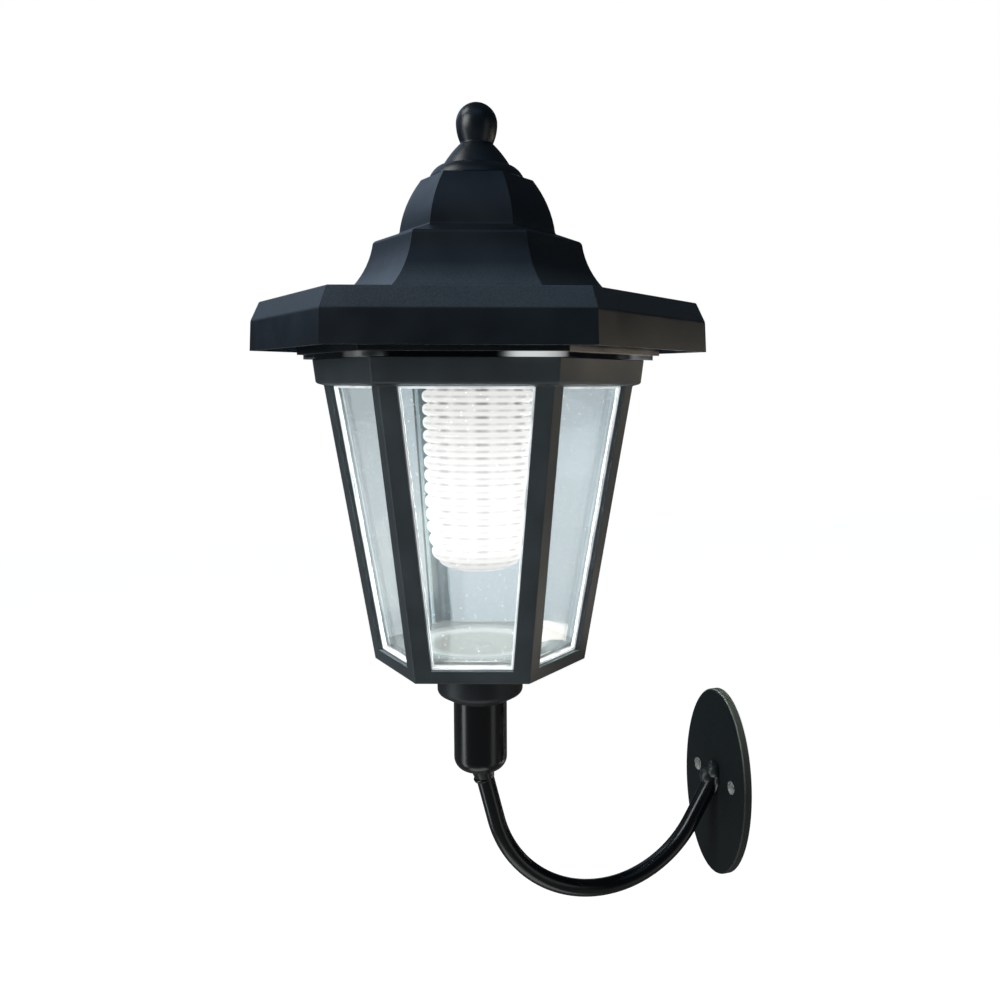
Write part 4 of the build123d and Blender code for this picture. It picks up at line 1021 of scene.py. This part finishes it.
# Soft vinyl on the leads, extruded: satin, in red and black
RED_PVC = moulded("red_vinyl_extruded", "#8c1c18", "#9c241f", 0.42, 0.6 * MM, 0.01 * MM)
BLACK_PVC = moulded("black_vinyl_extruded", "#141414", "#1a1a1a", 0.42, 0.6 * MM, 0.01 * MM)
# Polycrystalline silicon, printed with silver and cast in clear epoxy: blue flakes under a glossy coat
LAMINATE = solar_laminate()
# Zinc plating on screws, from a barrel: bright, and clouded where the screws rubbed
ZINC = metal("zinc_plated_steel", "#9da1a4", "#b8bbbd", 0.32, 0.8 * MM)
# Nickel plating on spring steel contacts: warm and bright
NICKEL = metal("nickel_plated_steel", "#b3b0a8", "#c9c6bd", 0.25, 1.2 * MM)
# Clear polystyrene, moulded in a polished tool: slightly wavy panes that dim what is behind them, with
# painted glow near the lamp and painted shade on the flange and the floor's side
CLEAR = clear_styrene()
# The same polystyrene in the panes' borders, painted pale with a painted glow: thin white frames
LIT_EDGE = lit_edge()
# The same polystyrene in the diffuser, ribbed by its tool: its painted glow breaks into white beads between
# lines of painted shade
RIBS = lit_ribs()
# The diffuser's bore, fluted by the tool's core: a painted glow behind the ribs
BORE = lit_bore()

COVERS = {
    "roof_shell": SATIN_ABS, "finial": SATIN_ABS, "cage": CAGE_ABS_PAINTED_GLOW, "base_boss": MATT_ABS,
    "soffit_plate": GLOSS_ABS, "diffuser_ring": GLOSS_ABS, "clear_liner": CLEAR,
    "ribbed_diffuser": RIBS, "wall_plate": POWDER, "bracket_arm": ENAMEL,
    "socket_cup": ENAMEL, "plate_weld": WELD_ENAMEL, "solar_panel_left": LAMINATE,
    "solar_panel_right": LAMINATE, "led_board": WHITE_MASK, "control_board": GREEN_MASK,
    "board_components": RESIN, "led": EPOXY, "cell_tray": TRAY_ABS, "switch_housing": TRAY_ABS,
    "switch_slider": ACETAL, "battery_cell": SLEEVE, "positive_contact": NICKEL,
    "negative_contact": NICKEL, "base_screw": ZINC, "finial_screw": ZINC, "soffit_screws": ZINC,
    "diffuser_ring_screws": ZINC, "board_screws": ZINC, "cell_lead_positive": RED_PVC,
    "cell_lead_negative": BLACK_PVC, "diode_lead": RED_PVC, "switch_lead": BLACK_PVC,
    "panel_lead_left": RED_PVC, "panel_lead_right": RED_PVC,
}
for node, cover in COVERS.items():
    slots = frame["nodes"][node].data.materials
    slots.clear()
    slots.append(cover)

# Of the roof only long, nearly level edges are rounded, and of the cage only long ones
rounded("roof_shell", 1.1 * MM, sharp=(15, 80), shortest=5 * MM, steepest=0.3)
rounded("cage", 0.5 * MM, sharp=(15, 100), shortest=5 * MM)
rounded("finial", 0.3 * MM)
rounded("base_boss", 0.5 * MM)
rounded("soffit_plate", 0.3 * MM)
rounded("wall_plate", 0.4 * MM)
rounded("socket_cup", 0.3 * MM)

piece("pane_borders", pane_borders, "lantern", LIT_EDGE)
weld = piece("plate_weld_bead", plate_bead, "bracket", WELD_ENAMEL)
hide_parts("plate_weld")
piece("cup_weld_bead", cup_bead, "bracket", ENAMEL)
tube = piece("ribbed_tube", ribbed_tube, "head", RIBS)
tube.data.materials.append(BORE)
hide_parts("ribbed_diffuser")
screws("soffit_screws", 1.5 * MM)
screws("diffuser_ring_screws", 1.25 * MM)
screws("base_screw", 2 * MM, head_up=True)
screws("board_screws", 1 * MM, head_up=True)

photo_camera()
white_room()
pale_floor()
inner_lamp()
# Lamps: metres to the right, nearer and above, then width and height, brightness and colour
soft_lamp("left_sky", -0.55, -0.75, 0.62, (0.7, 0.5), 0.60, "#bcd4f2")
soft_lamp("left_haze", -0.92, -0.58, 0.40, (1.0, 0.5), 0.25, "#bcd4f2")
soft_lamp("left_window", -0.58, -0.04, 0.72, (0.36, 0.36), 4.5, "#f2f6f4")
soft_lamp("left_strip", -0.95, 0.31, -0.25, (0.28, 1.5), 3.2, "#e6eef2")
soft_lamp("arm_window", -0.60, 0.38, 0.32, (0.4, 0.4), 6.5, "#eef3f2")
soft_lamp("right_strip", 0.86, 0.47, -0.25, (0.3, 1.2), 0.7, "#e9efe9")
soft_lamp("front_sky", -0.10, 0.55, 0.92, (1.1, 0.6), 0.30, "#a9d0ff")
soft_lamp("right_level", 0.85, -0.40, -0.035, (0.5, 0.11), 3.0, "#fff0d8")
soft_lamp("right_low", 0.60, -0.28, -0.42, (0.35, 0.2), 3.5, "#fff4e4")
soft_lamp("low_glow", -0.05, 0.20, -0.70, (0.6, 0.3), 1.5, "#f4f6f4")
soft_lamp("front_fill", -0.30, 1.10, 0.30, (1.2, 1.0), 1.6, "#eef4fa", gloss=False)
bpy.context.scene.view_settings.view_transform = "Standard"
